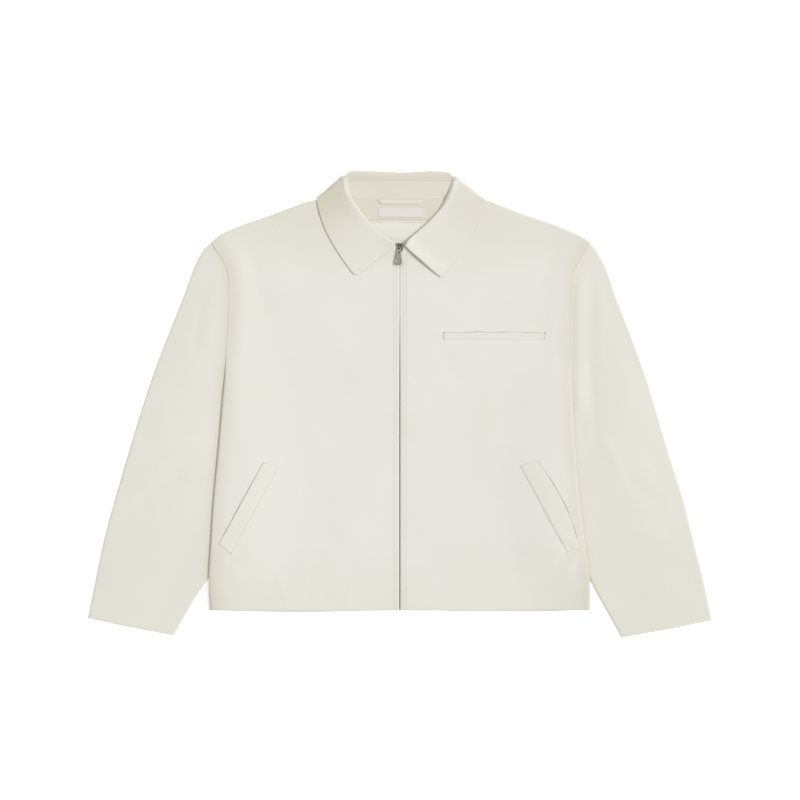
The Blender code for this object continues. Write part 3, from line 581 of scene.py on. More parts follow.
def linear(hex_color):
    """Linear colour of an sRGB hex value."""
    parts = [int(hex_color[i:i + 2], 16) / 255 for i in (1, 3, 5)]
    return [p / 12.92 if p <= 0.04045 else ((p + 0.055) / 1.055) ** 2.4 for p in parts] + [1.0]


def add_node(tree, kind, inputs, **settings):
    """Adds a node with its settings; an input is a value, or a socket to link."""
    node = tree.nodes.new(kind)
    for name, value in settings.items():
        setattr(node, name, value)
    for name, value in inputs.items():
        if isinstance(value, bpy.types.NodeSocket):
            tree.links.new(value, node.inputs[name])
        else:
            node.inputs[name].default_value = value
    return node


def new_material(name, roughness, metallic=0.0):
    made = bpy.data.materials.new(name)
    made.use_nodes = True
    shader = made.node_tree.nodes["Principled BSDF"]
    shader.inputs["Roughness"].default_value = roughness
    shader.inputs["Metallic"].default_value = metallic
    return made, made.node_tree, shader


WAVE_TURN = 0.314  # metres between two bands of a Wave texture of scale 1


def link_shader(tree, shader, colour, rough, relief):
    for socket, source in (("Base Color", colour), ("Roughness", rough), ("Normal", relief)):
        tree.links.new(source, shader.inputs[socket])


def woven(name, light, dark, painted_shade, spacing, slant, roughness, sheen, bump, mottling=0.5):
    """A woven cloth. Its grain follows the piece's own UV map, in metres; it turns to its painted shade colour
    where the piece's painted shade attribute is 1.
    """
    made, tree, shader = new_material(name, roughness)
    place = add_node(tree, "ShaderNodeUVMap", {}, uv_map="Grain").outputs["UV"]
    turned = add_node(tree, "ShaderNodeMapping", {"Vector": place, "Rotation": (0, 0, math.radians(slant))})
    ribs = add_node(
        tree, "ShaderNodeTexWave",
        {"Vector": turned.outputs["Vector"], "Scale": WAVE_TURN / (spacing * MM), "Distortion": 1.2,
         "Detail": 1.0, "Detail Scale": 1.5},
        wave_type="BANDS", bands_direction="X",
    )
    slubs = add_node(tree, "ShaderNodeTexNoise", {"Vector": place, "Scale": 420.0, "Detail": 3.0})
    clouds = add_node(tree, "ShaderNodeTexNoise", {"Vector": place, "Scale": 11.0, "Detail": 2.0})
    mixed = add_node(
        tree, "ShaderNodeMath",
        {0: clouds.outputs["Fac"], 1: add_node(tree, "ShaderNodeMath", {0: slubs.outputs["Fac"], 1: 0.35},
                                               operation="MULTIPLY").outputs[0]},
        operation="ADD",
    )
    shade = add_node(
        tree, "ShaderNodeMapRange",
        {"Value": mixed.outputs[0], "From Min": 0.35, "From Max": 1.0, "To Min": 0.0, "To Max": mottling},
    )
    ramp = add_node(
        tree, "ShaderNodeMix", {0: shade.outputs[0], 6: linear(light), 7: linear(dark)}, data_type="RGBA",
    )
    # Painted shade: each piece's painted shade attribute mixes the cloth towards its painted shade colour
    painted_shade_amount = add_node(tree, "ShaderNodeAttribute", {}, attribute_name="PaintedShade")
    shaded_colour = add_node(
        tree, "ShaderNodeMix", {0: painted_shade_amount.outputs["Fac"], 6: ramp.outputs[2], 7: linear(painted_shade)},
        data_type="RGBA",
    )
    rough = add_node(
        tree, "ShaderNodeMapRange",
        {"Value": slubs.outputs["Fac"], "To Min": roughness - 0.06, "To Max": roughness + 0.06},
    )
    grain = add_node(
        tree, "ShaderNodeMath",
        {0: ribs.outputs["Fac"], 1: add_node(tree, "ShaderNodeMath", {0: slubs.outputs["Fac"], 1: 0.8},
                                             operation="MULTIPLY").outputs[0]},
        operation="ADD",
    )
    relief = add_node(
        tree, "ShaderNodeBump", {"Height": grain.outputs[0], "Strength": bump, "Distance": 0.00012},
    )
    link_shader(tree, shader, shaded_colour.outputs[2], rough.outputs[0], relief.outputs["Normal"])
    shader.inputs["Sheen Weight"].default_value = sheen
    shader.inputs["Sheen Roughness"].default_value = 0.5
    shader.inputs["Specular IOR Level"].default_value = 0.25
    return made


def metal(name, light, dark, roughness, grain_scale, stretch):
    """Plated die-cast metal with fine marks from polishing that vary its tone, roughness and relief."""
    made, tree, shader = new_material(name, roughness, 1.0)
    place = add_node(tree, "ShaderNodeTexCoord", {}).outputs["Object"]
    drawn = add_node(tree, "ShaderNodeMapping", {"Vector": place, "Scale": stretch})
    marks = add_node(
        tree, "ShaderNodeTexNoise", {"Vector": drawn.outputs["Vector"], "Scale": grain_scale, "Detail": 4.0},
    )
    tint = add_node(
        tree, "ShaderNodeMix", {0: marks.outputs["Fac"], 6: linear(light), 7: linear(dark)}, data_type="RGBA",
    )
    rough = add_node(
        tree, "ShaderNodeMapRange",
        {"Value": marks.outputs["Fac"], "To Min": roughness - 0.08, "To Max": roughness + 0.1},
    )
    relief = add_node(
        tree, "ShaderNodeBump", {"Height": marks.outputs["Fac"], "Strength": 0.25, "Distance": 0.00005},
    )
    link_shader(tree, shader, tint.outputs[2], rough.outputs[0], relief.outputs["Normal"])
    return made


# The third colour of each woven cloth is its painted shade colour
# Brushed cotton twill: matt cream, a diagonal rib that is drawn at 1.4 mm to show at all
TWILL = woven("Cotton twill", "#e6e4de", "#dedbd3", "#d2cebf", 1.4, 63.0, 0.86, 0.12, 0.35)
# The same inside the collar, darker and yellower all over as painted shade
SHADED_INNER_TWILL = woven(
    "Cotton twill of the inner collar in painted shade", "#e2dfd3", "#dad7c9", "#d0ccbd", 1.4, 63.0, 0.86, 0.12, 0.35,
)
# Viscose sateen: smoother and a little cooler
SATEEN = woven("Viscose sateen lining", "#e3e4dc", "#dcddd4", "#cfcfc5", 0.9, 0.0, 0.6, 0.05, 0.15)
# Damask label ribbon: fine ribs across, slightly pink beside the cream
RIBBON = woven("Damask ribbon", "#e2ded9", "#d8d4cd", "#cbc6be", 0.7, 90.0, 0.55, 0.05, 0.4)
# Herringbone cotton tape
TAPE_LOOK = woven("Cotton zip tape", "#e0dbce", "#d2ccbc", "#c4beae", 1.2, 45.0, 0.9, 0.1, 0.5)
# Spun polyester thread, a little darker than the cloth; part of that darkness is painted shade of the grooves
# it sinks into
THREAD = woven("Spun polyester thread", "#c4bfb2", "#b0aa9d", "#9d978a", 0.4, 30.0, 0.7, 0.1, 0.3)
# Pocket bag of plain calico, painted dark as the shade in a pocket's mouth: painted shade
SHADED_CALICO = woven("Calico pocket bag in painted shade", "#aaa495", "#958f80", "#7d7769", 1.0, 0.0, 0.9, 0.05, 0.4)
# Zinc die-casting under a dark nickel plate
DARK_ZINC = metal("Dark plated zinc", "#9a928a", "#57514b", 0.4, 900.0, (1.0, 1.0, 1.0))
# The same under satin nickel, brushed along the tab
NICKEL = metal("Satin nickel plate", "#b8b4ac", "#928e87", 0.36, 500.0, (6.0, 0.6, 1.0))


# ---------------------------------------------------------------- meshes

def in_scene(name, data):
    made = bpy.data.objects.new(name, data)
    bpy.context.scene.collection.objects.link(made)
    return made


def add_object(name, bm, look):
    """Makes an object from a bmesh in millimetres, at the origin."""
    bmesh.ops.translate(bm, verts=bm.verts, vec=CENTRE)
    bmesh.ops.scale(bm, verts=bm.verts, vec=(MM, MM, MM))
    mesh = bpy.data.meshes.new(name)
    bm.to_mesh(mesh)
    bm.free()
    mesh.shade_smooth()
    mesh.materials.append(look)
    return in_scene(name, mesh)


def grid_mesh(grid, shade, grain, tube):
    """A grid bent through rows of points, with its UV map turned to the cloth's grain."""
    if tube:
        grid = np.concatenate([grid, grid[:, :1]], axis=1)
        shade = np.concatenate([shade, shade[:, :1]], axis=1)
    rows, columns = grid.shape[:2]
    bm = bmesh.new()
    bmesh.ops.create_grid(bm, x_segments=columns - 1, y_segments=rows - 1, size=0.5)
    # Each vertex keeps the amount of painted shade its cloth shows
    painted_shade = bm.verts.layers.float.new("PaintedShade")
    for vert in bm.verts:
        column = round((vert.co.x + 0.5) * (columns - 1))
        row = round((vert.co.y + 0.5) * (rows - 1))
        vert.co = grid[row, column]
        vert[painted_shade] = shade[row, column]
    uv = bm.loops.layers.uv.new("Grain")
    c, s = math.cos(math.radians(grain)), math.sin(math.radians(grain))
    for face in bm.faces:
        for loop in face.loops:
            x, y = loop.vert.co.x * MM, loop.vert.co.y * MM
            loop[uv].uv = (c * x + s * y, c * y - s * x)
    if tube:
        bmesh.ops.remove_doubles(bm, verts=bm.verts, dist=1e-5)
    return bm


def add_cloth(name, grid, thickness, look, tube=False, flip=False, grain=0.0, shade=0.0):
    """A wall of cloth whose outer face goes through rows of points, with soft edges."""
    grid = np.asarray(grid)
    bm = grid_mesh(grid, np.broadcast_to(shade, grid.shape[:2]), grain, tube)
    if flip:
        bmesh.ops.reverse_faces(bm, faces=bm.faces)
    made = add_object(name, bm, look)
    wall = made.modifiers.new("Wall", "SOLIDIFY")
    wall.thickness = thickness * MM
    wall.offset = -1
    edge = made.modifiers.new("Turned edge", "BEVEL")
    edge.width = 0.3 * thickness * MM
    edge.segments = 2
    edge.limit_method = "ANGLE"
    edge.angle_limit = math.radians(60)
    return made


def with_height(plan, height):
    return np.dstack([plan, height])


def refine(values, parts):
    """Divides each step between values, or between points, into parts."""
    values = np.asarray(values, float)
    index = np.arange(len(values))
    at = np.linspace(0, index[-1], index[-1] * parts + 1)
    if values.ndim == 1:
        return np.interp(at, index, values)
    return np.array([np.interp(at, index, values[:, i]) for i in range(values.shape[1])]).T


EDGE_ANGLES = np.radians([0, 15, 30, 45, 60, 75, 90])
EDGE_AWAY = 1 - np.sin(EDGE_ANGLES)
EDGE_DROP = 1 - np.cos(EDGE_ANGLES)
EDGE_STEPS = len(EDGE_ANGLES)
LIP_RISE = {"right": 0.0, "left": 0.6}

FRONT_CELLS = 66
FRONT_PARTS = 6
SLEEVE_ROWS = 137
SLEEVE_CELLS = 46
BACK_PARTS = 4
WING_PARTS = 4
WING_COLUMNS = 12 * WING_PARTS + 1
WING_ROWS = 6 * WING_PARTS
BACK_LEAF_CELLS = 28
TURN_ANGLES = np.radians(np.arange(75, -76, -15))
TURN_COLUMNS = len(TURN_ANGLES)
ROLL_ANGLES = np.radians(np.arange(15, 181, 15))
STAND_SKIP = 2 * WING_PARTS
STAND_INSET = 1.7
STAND_SIDE = {"x": 89.2, "y": 323.2}
STAND_CUT = {"top": 10, "front": 16}
BACK_NECK_GAP = 0.6
FRONT_REST = BACK_T + BODY_GAP + 0.2


SIDE_FALL = {"width": 27.0, "depth": 1.5}


def panel_top(x, y):
    """Height of the fronts' outer face: soft creases, and a slow fall towards the right side."""
    near = np.clip(1 - distance_to(EDGES["right"], x, y) / SIDE_FALL["width"], 0, 1)
    return front_top(x, y) + creases(x, y, CREASES) - SIDE_FALL["depth"] * near ** 2


# Painted shade beside the armhole: depth, distance from the edge and spread
ARMHOLE_SHADE = {
    "right": ((0.3, 0.0, 15.0), (0.08, 0.0, 32.0)),
    "left": ((0.32, 7.0, 10.0), (0.5, 0.0, 3.5)),
}
# Painted shade at the shoulders and at the hem, and the distance over which each fades in
SHOULDER_SHADE = {"depth": 0.34, "y": 200.0}
HEM_SHADE = {"middle": 0.1, "side": 0.3, "side_reach": 60.0, "y": -215.0}
SHADE_FADE = 80.0


def panel_shade(side, x, y):
    """Painted shade beside the armholes, at the shoulders and at the hem."""
    away = distance_to(EDGES[side], x, y)
    beside = sum(depth * np.exp(-((away - at) / spread) ** 2) for depth, at, spread in ARMHOLE_SHADE[side])
    high = SHOULDER_SHADE["depth"] * np.clip((y - SHOULDER_SHADE["y"]) / SHADE_FADE, 0, 1)
    low = np.clip((HEM_SHADE["y"] - y) / SHADE_FADE, 0, 1)
    low = low * (HEM_SHADE["middle"] + HEM_SHADE["side"] * np.exp(-(away / HEM_SHADE["side_reach"]) ** 2))
    return beside + high + low


# Painted shade of a sleeve beside the armhole, as depth and reach, and towards its two ends
SLEEVE_SHADE = {"right": (0.32, 10.0), "left": (0.0, 30.0)}
SLEEVE_BASE_SHADE = {"middle": 0.12, "ends": 0.12, "y": -50.0, "reach": 200.0}


def sleeve_shade(side, x, y):
    away = distance_to(EDGES[side], x, y)
    depth, reach = SLEEVE_SHADE[side]
    to_end = np.clip(abs(y - SLEEVE_BASE_SHADE["y"]) / SLEEVE_BASE_SHADE["reach"], 0, 1)
    base = SLEEVE_BASE_SHADE["middle"] + SLEEVE_BASE_SHADE["ends"] * to_end
    return base + depth * np.exp(-(away / reach) ** 2)


def back_panel():
    hem = smooth_curve(np.column_stack([HEM["x"], HEM["y"]]))
    left = inset(body_edge("right"), -OVERHANG)
    right = inset(body_edge("left"), OVERHANG)
    left[0, 1], right[0, 1] = hem[0, 1], hem[-1, 1]
    tips = {side: smooth_curve(np.vstack([body_edge(side)[-1:], shoulder_line(side)])) for side in SIDES}
    shoulder = {side: inset(divide(tips[side], 8), SIDES[side] * OVERHANG) for side in SIDES}
    neck = {side: divide(smooth_curve(points(BACK_NECK, side, "x", "y")), 4) for side in SIDES}
    for side, rim in (("right", left), ("left", right)):
        shoulder[side][0] = rim[-1] = crossing(rim[-2:], shoulder[side][:2])
        shoulder[side][-1] = neck[side][0] = neck[side][0] - (0, OVERHANG)
    top = np.vstack([shoulder["right"], neck["right"][1:], neck["left"][-2:0:-1], shoulder["left"][::-1]])
    bottom = divide(np.vstack([left[:1], hem[1:-1], right[:1]]), len(top) - 1)
    plan = coons(*[refine(border, BACK_PARTS) for border in (bottom, top, left, right)])
    x, y = plan[..., 0], plan[..., 1]
    grid = with_height(plan, body_lift(x, y))
    return add_cloth("back_cloth", grid, BACK_T, TWILL, flip=True)


# How far the edges of the fronts lie to the right of the zip's middle
ZIP_SHIFT = table(("y", "x"), (222, -0.9), (234, -1.6), (244, -1.6), (249.5, -0.4))

# Visible edge of a front beside the zip: nearly closed below the slider, open further down
FRONT_EDGE = table(
    ("y", "x"),
    (-320, 0.85), (-100, 0.85), (20, 0.8), (80, 0.6), (130, 0.35), (142, 0.2), (205, 0.2),
    (225, 0.4), (232.5, 1.2), (238, 5), (249.5, 7.5),
)


def front_panel(side):
    edge = EDGES[side]
    zip_curve = points(FRONT_EDGE, side, "x", "y")
    zip_curve[:, 0] += np.interp(zip_curve[:, 1], ZIP_SHIFT["y"], ZIP_SHIFT["x"])
    hem_y = {x: np.interp(x, HEM["x"], HEM["y"]) for x in (zip_curve[0, 0], edge[0, 0])}
    zip_curve[0, 1] = hem_y[zip_curve[0, 0]]
    neck = smooth_curve(points(FRONT_NECK, side, "x", "y"))[::-1]
    neck[0] = zip_curve[-1]
    inner = np.vstack([zip_curve, neck[1:]])
    zip_end, inner_end = run_length(zip_curve)[-1], run_length(inner)[-1]
    inner_at = np.concatenate([np.linspace(0, zip_end, 15), np.linspace(zip_end, inner_end, 8)[1:]])
    borders = []
    for curve, coarse in ((inner, inner_at), (edge, seam_distances(side))):
        end = run_length(curve)[-1]
        at = refine(coarse, FRONT_PARTS) * (end - TOP_ROLL) / end
        borders.append(at_distances(curve, np.concatenate([at, end - TOP_ROLL * EDGE_AWAY[1:]])))
    inner, outer = borders
    outer[:, 1] = np.maximum(outer[:, 1], hem_y[edge[0, 0]])
    rim = [ROLL[side] * step for step in EDGE_AWAY]
    shoulder = smooth_curve(np.vstack([edge[-1:], shoulder_line(side)]))
    shoulder = divide(shoulder, FRONT_CELLS, start=rim)[::-1]
    hem = smooth_curve([inner[0], (inner[0] + outer[0]) / 2 + (0, -1.0), outer[0]])
    plan = coons(divide(hem, FRONT_CELLS, end=rim), shoulder, inner, outer)
    x, y = plan[..., 0], plan[..., 1]
    across = np.concatenate([np.zeros(plan.shape[1] - EDGE_STEPS), EDGE_DROP])[None, :]
    along = np.concatenate([np.zeros(plan.shape[0] - EDGE_STEPS), EDGE_DROP])[:, None]
    top = panel_top(x, y)
    lip = front_lip(x, y) + LIP_RISE[side] * across
    grid = with_height(plan, top - (top - lip) * np.maximum(across, along))
    shade = panel_shade(side, x, y)
    return add_cloth("front_" + side + "_cloth", grid, FRONT_T, TWILL, flip=side == "right", shade=shade)


def tube_columns(outer, inner):
    """Shares of the width at which a sleeve's columns lie, close together at its rounded edges."""
    line = inner - outer
    width = np.linalg.norm(line, axis=1)
    along = np.gradient(inner, axis=0)
    along /= np.linalg.norm(along, axis=1)[:, None]
    slant = np.abs(line[:, 0] * along[:, 1] - line[:, 1] * along[:, 0]) / width
    inner_rim = TUBE_EDGE / np.clip(slant, 0.25, 1)
    middle = np.linspace(0, 1, SLEEVE_CELLS)[None, :]
    middle = TUBE_EDGE + middle * (width - TUBE_EDGE - inner_rim)[:, None]
    start = np.tile(TUBE_EDGE * EDGE_AWAY[:0:-1], (len(width), 1))
    end = width[:, None] - inner_rim[:, None] * EDGE_AWAY[None, 1:]
    return np.hstack([start, middle, end]) / width[:, None]


def cap_ridge(side, x, y):
    """Extra height of the left sleeve beside the armhole."""
    if side == "right":
        return 0.0
    away = distance_to(EDGES[side], x, y)
    along = np.clip((y - CAP_RIDGE["y0"]) / CAP_RIDGE["fade"], 0, 1)
    along = along * np.clip((CAP_RIDGE["y1"] - y) / CAP_RIDGE["fade"], 0, 1)
    return CAP_RIDGE["height"] * along * np.exp(-((away - CAP_RIDGE["away"]) / CAP_RIDGE["spread"]) ** 2)


# How a sleeve's rows crowd towards the underarm, the height of its seam as a share of its edge's, the
# shape of its crown, the shares over which creases fade, the bow of its cuff, and its grain in degrees
SLEEVE_FORM = {"crowd": 1.8, "seam": 0.45, "crown": 1.2, "fade": 0.15, "cuff_bow": -0.8, "grain": 17.0}


def sleeve_panel(side):
    share = np.linspace(0, 1, SLEEVE_ROWS)
    outer_curve, inner_curve = sleeve_outer(side), sleeve_inner(side)
    outer = at_distances(outer_curve, share * run_length(outer_curve)[-1])
    inner = at_distances(inner_curve, share ** SLEEVE_FORM["crowd"] * run_length(inner_curve)[-1])
    across = tube_columns(outer, inner)
    cuff = (outer[-1] + inner[-1]) / 2 + (0, SLEEVE_FORM["cuff_bow"])
    cuff = smooth_curve([outer[-1], cuff, inner[-1]])
    plan = ruled(outer, inner, across, armhole(side), cuff)
    x, y = plan[..., 0], plan[..., 1]
    share = share[:, None]
    edge = np.interp(share, SLEEVE_BODY["share"], SLEEVE_BODY["edge"])
    crown = np.interp(share, SLEEVE_BODY["share"], SLEEVE_BODY["crown"])
    bulge = np.sin(math.pi * np.clip(across / CROWN_SHARE, 0, 1)) ** SLEEVE_FORM["crown"]
    rise = np.cos(EDGE_ANGLES)[::-1]
    roundness = np.concatenate([rise, np.ones(across.shape[1] - 2 * EDGE_STEPS), rise[::-1]])[None, :]
    middle = SLEEVE_FORM["seam"] * edge
    soft = (creases(x, y, FOLDS) + creases(x, y, SLEEVE_CREASES)) * np.clip(share / SLEEVE_FORM["fade"], 0, 1)
    soft = soft * np.clip((CROWN_SHARE - across) / SLEEVE_FORM["fade"], 0, 1) * roundness
    upper = middle + (edge - middle) * roundness + crown * bulge + soft
    upper = upper + cap_ridge(side, x, y) * roundness
    lower = middle * (1 - roundness) + 0 * upper
    ring = np.concatenate([with_height(plan, upper), with_height(plan, lower)[:, -2:0:-1]], axis=1)
    grain = -SIDES[side] * SLEEVE_FORM["grain"]
    shade = sleeve_shade(side, ring[..., 0], ring[..., 1])
    return add_cloth(
        "sleeve_" + side + "_cloth", ring, SLEEVE_T, TWILL,
        tube=True, flip=side == "right", grain=grain, shade=shade,
    )


ROLL_START_Y = 268.0
ROLL_END_Y = 344.0


def roll_share(y):
    """0 at the leaf's front end, 1 where its roll turns behind the neck."""
    return ease((y - ROLL_START_Y) / (ROLL_END_Y - ROLL_START_Y))


def roll_start(side):
    """Plan of the line where the leaf's outer face begins to roll in, from the zip to the shoulder."""
    line = smooth_curve(side_points(ROLL_LINE, side))
    radius = ROLL_R["zip"] + (ROLL_R["neck"] - ROLL_R["zip"]) * roll_share(line[:, 1])
    return inset(line, -SIDES[side] * radius[:, None])


def fold_line(side):
    """Plan of the top of the leaf's fold round the shoulder, and the fold's height there."""
    line = smooth_curve(side_points(LEAF_FOLD, side))
    share = run_length(line) / run_length(line)[-1]
    height = FOLD_TOP["outer"] + (FOLD_TOP["neck"] - FOLD_TOP["outer"]) * (1 - share) ** 1.3
    return inset(line, -SIDES[side] * height[:, None] / 2), height


# Rise of the leaf along its roll, more at its front end, and towards the back of the neck
ROLL_RISE = {"along": 1.0, "end": 2.4}
NECK_RISE = {"right": 4.6, "left": 1.4}
RISE_REACH = {"along": 16.0, "end": 14.0, "neck": 26.0}


def roll_bulge(side, x, y):
    """How far the leaf rises towards its roll and, more, towards its front end and behind the neck."""
    roll = smooth_curve(side_points(ROLL_LINE, side))
    away = distance_to(roll, x, y)
    to_roll = np.exp(-(away / RISE_REACH["along"]) ** 2)
    to_end = np.exp(-np.hypot(x - roll[0, 0], y - roll[0, 1]) / RISE_REACH["end"])
    to_neck = NECK_RISE[side] * roll_share(y) * np.exp(-(away / RISE_REACH["neck"]) ** 2)
    return ROLL_RISE["along"] * to_roll + ROLL_RISE["end"] * to_end * to_roll + to_neck


CORNER_GAP = 2.0  # the leaf's borders keep this far below its corner at the neck
LEAF_GAP = 0.6
FOLD_FROM = 1.2  # the rise to the fold starts 1.2 parts of 2.2 along the leaf


def leaf_wing(side):
    """Outer face of the visible front part of the leaf, and its height along the fold."""
    fold, fold_height = fold_line(side)
    roll = roll_start(side)
    corner = crossing(fold[:2], roll[-2:])
    keep = fold[:, 1] < corner[1] - CORNER_GAP
    fold = np.vstack([corner, fold[keep]])
    fold_height = np.concatenate([[FOLD_TOP["neck"]], fold_height[keep]])
    roll = np.vstack([roll[roll[:, 1] < corner[1] - CORNER_GAP], corner])
    front = smooth_curve(np.vstack([roll[:1], side_points(LEAF_FRONT, side)]))
    outer = smooth_curve(np.vstack([front[-1:], side_points(LEAF_OUTER, side), fold[-1:]]))
    share = np.linspace(0, 1, WING_ROWS + 1)
    fold_height = np.interp(share, run_length(fold) / run_length(fold)[-1], fold_height)
    rolled, outer = (divide(curve, WING_COLUMNS - 1) for curve in (roll, outer))
    front, folded = (divide(curve, WING_ROWS) for curve in (front, fold))
    plan = coons(rolled, outer, front, folded)
    x, y = plan[..., 0], plan[..., 1]
    height = front_top(x, y) + LEAF_GAP + COLLAR_T + roll_bulge(side, x, y) + leaf_edge(side, x, y)
    to_fold = ease(np.linspace(0, 1, WING_COLUMNS) * (1 + FOLD_FROM) - FOLD_FROM)[None, :]
    return with_height(plan, height + (fold_height[:, None] - height) * to_fold), fold_height


# How far a leaf's front edge stands off the front below it, along it from the zip to the tip
STAND_OFF = table(
    ("share", "right", "left"),
    (0, 0.6, 1.4), (0.3, 0.7, 4.4), (0.65, 0.5, 2.6), (1, 0.25, 0.3),
)
STAND_OFF_SPREAD = {"right": 10.0, "left": 13.0}


def leaf_edge(side, x, y):
    """Lift of the leaf along its front edge."""
    edge = smooth_curve(side_points(LEAF_FRONT, side))
    share = np.clip((edge[0, 1] - y) / (edge[0, 1] - edge[-1, 1]), 0, 1)
    height = np.interp(share, STAND_OFF["share"], STAND_OFF[side])
    return height * np.exp(-(distance_to(edge, x, y) / STAND_OFF_SPREAD[side]) ** 2)


WING_SHADE = {"right": (0.96, 0.1), "left": (0.36, 0.1)}


def wing_shade(side, x, y):
    """Painted shade towards the fold round the shoulder, most on the right."""
    depth, least = WING_SHADE[side]
    to_fold = np.exp(-(distance_to(side_points(LEAF_FOLD, side), x, y) / 62) ** 2)
    off_roll = ease((distance_to(smooth_curve(side_points(ROLL_LINE, side)), x, y) - 7) / 8)
    return least + depth * to_fold * (0.5 + 0.5 * off_roll)


def leaf_back_part(side, fold):
    """Outer face of the hidden back part of the leaf, from the shoulder fold to the middle."""
    roll = smooth_curve(np.vstack([fold[:1], side_points(BACK_ROLL_LINE, side)]))
    outer = smooth_curve(np.vstack([fold[-1:], leaf_back_edge(side)[12:]]))
    middle = np.linspace(roll[-1], outer[-1], WING_ROWS + 1)
    plan = coons(divide(roll, BACK_LEAF_CELLS), divide(outer, BACK_LEAF_CELLS), fold, middle)
    return with_height(plan, np.zeros(plan.shape[:2]))


def unit(vectors):
    return vectors / np.linalg.norm(vectors, axis=-1, keepdims=True)


def half_leaf(side):
    """Outer face of half the leaf, from its front end to the middle of the back."""
    wing, fold_height = leaf_wing(side)
    fold = wing[:, -1, :2]
    outward = unit(np.gradient(fold, axis=0))
    outward = SIDES[side] * np.column_stack([-outward[:, 1], outward[:, 0]])
    radius = fold_height / 2
    turns = []
    for angle in TURN_ANGLES:
        plan = fold + outward * radius[:, None] * math.cos(angle)
        turns.append(np.column_stack([plan, radius * (1 + math.sin(angle))]))
    return np.concatenate([wing, np.stack(turns, axis=1), leaf_back_part(side, fold)], axis=1)


def stand_bottom(side):
    """The stand's lower edge, from its front end round the side of the neck to the middle of the back."""
    neck = inset(smooth_curve(points(FRONT_NECK, side, "x", "y")), -SIDES[side] * STAND_INSET)
    corner = np.array([SIDES[side] * STAND_SIDE["x"], STAND_SIDE["y"]])
    front = np.vstack([neck[STAND_CUT["top"]:-STAND_CUT["front"]][::-1], corner])
    front = divide(front, WING_COLUMNS - 1 - STAND_SKIP)
    back = points(BACK_NECK, side, "x", "y")[1:] + (0, BACK_NECK_GAP)
    back = divide(smooth_curve(np.vstack([corner, back])), BACK_LEAF_CELLS)
    high = np.column_stack([front, FRONT_REST + body_lift(*front.T)])
    low = np.column_stack([back, back_top(*back.T) + 0.2])
    middle = (high[-1] + low[0]) / 2
    radius = (high[-1, 2] - low[0, 2]) / 2
    turns = [
        middle + radius * np.array([SIDES[side] * math.cos(angle), 0, math.sin(angle)])
        for angle in TURN_ANGLES
    ]
    return np.vstack([high, turns, low])


NECK_SEAM = 0.04
ROLL_LOWEST = 0.6  # no row of the roll is lower than this


def collar():
    """Makes the leaf and the stand that joins it to the neckline."""
    bottom = np.vstack([stand_bottom("right"), stand_bottom("left")[-2::-1]])
    bottom = np.vstack([bottom[:1]] * STAND_SKIP + [bottom] + [bottom[-1:]] * STAND_SKIP)
    halves = {side: half_leaf(side) for side in SIDES}
    grid = np.concatenate([halves["right"], halves["left"][:, -2::-1]], axis=1)
    count = grid.shape[1]
    start, into = grid[0], unit(grid[WING_PARTS] - grid[0])
    out = unit(np.cross(np.gradient(start, axis=0), into))
    number = np.minimum(np.arange(count), np.arange(count)[::-1])
    out[number >= WING_COLUMNS + TURN_COLUMNS] = (0, 0, -1)
    neck = np.where(number < WING_COLUMNS, roll_share(start[:, 1]), 1.0)
    radius = (ROLL_R["zip"] + (ROLL_R["neck"] - ROLL_R["zip"]) * neck)[:, None]
    rows = []
    for angle in ROLL_ANGLES:
        row = start + radius * (-into * math.sin(angle) + out * (math.cos(angle) - 1))
        rows.append(np.maximum(row, (-np.inf, -np.inf, ROLL_LOWEST)))
    to_side = np.clip((number - STAND_SKIP) / (3 * WING_PARTS), 0, 1)[:, None]
    under = unit(into * (1 - to_side) + unit(bottom - rows[-1]) * to_side)
    wing_reach = np.clip(number / WING_PARTS, 0.6, 3.0)
    back_reach = (rows[-1][:, 1] - STAND_TOP_Y) / np.maximum(-under[:, 1], 0.5)
    to_back = np.clip((number - WING_COLUMNS + 1) / (TURN_COLUMNS + 1), 0, 1)
    reach = (wing_reach + (back_reach - wing_reach) * to_back)[:, None]
    end = rows[-1] + under * reach
    lip = [end + (rows[-1] - end) * share for share in (0, 0.25, 0.5, 0.75)]
    x, y = grid[..., 0], grid[..., 1]
    # Painted shade on the leaf, from the wings' painted shade rising to 0.62 on the roll and lip behind the
    # neck
    grid_shade = np.where(x < 0, wing_shade("right", x, y), wing_shade("left", x, y))
    inner_shade = grid_shade[:1] + (0.62 - grid_shade[:1]) * to_back.T[None] ** 2
    shade = np.concatenate([np.repeat(inner_shade, len(lip) + len(rows), axis=0), grid_shade])
    leaf = np.concatenate([lip, rows[::-1], grid])
    leaf = add_cloth("collar_leaf_cloth", leaf, COLLAR_T, TWILL, shade=shade)
    top = (end + under * NECK_SEAM)[STAND_SKIP:-STAND_SKIP]
    bottom = bottom[STAND_SKIP:-STAND_SKIP]
    strip = [bottom + (top - bottom) * share for share in np.linspace(0, 1, 13)]
    # Painted shade on the stand, deepening towards the leaf
    shade = np.linspace(0.0, 0.12, 13)[:, None]
    stand = add_cloth("collar_stand_cloth", np.array(strip), STAND_T, SHADED_INNER_TWILL, shade=shade)
    return leaf, stand


def patch(half_top, half_bottom, y_top, y_bottom, rows, columns):
    """Plan of a patch across the middle of the back."""
    halves = np.linspace(half_bottom, half_top, rows + 1)[:, None]
    y = np.linspace(y_bottom, y_top, rows + 1)[:, None]
    share = np.linspace(-1, 1, columns + 1)[None, :]
    return np.dstack([halves * share, y + 0 * share])


LINING_T = 0.5
LABEL_T = 0.35
LINING_END_Y = 236.0


def facing_top(x, y):
    return back_top(x, y) + 0.45 + FACING_T


def label_top(x, y):
    return facing_top(x, y) + LABEL_T


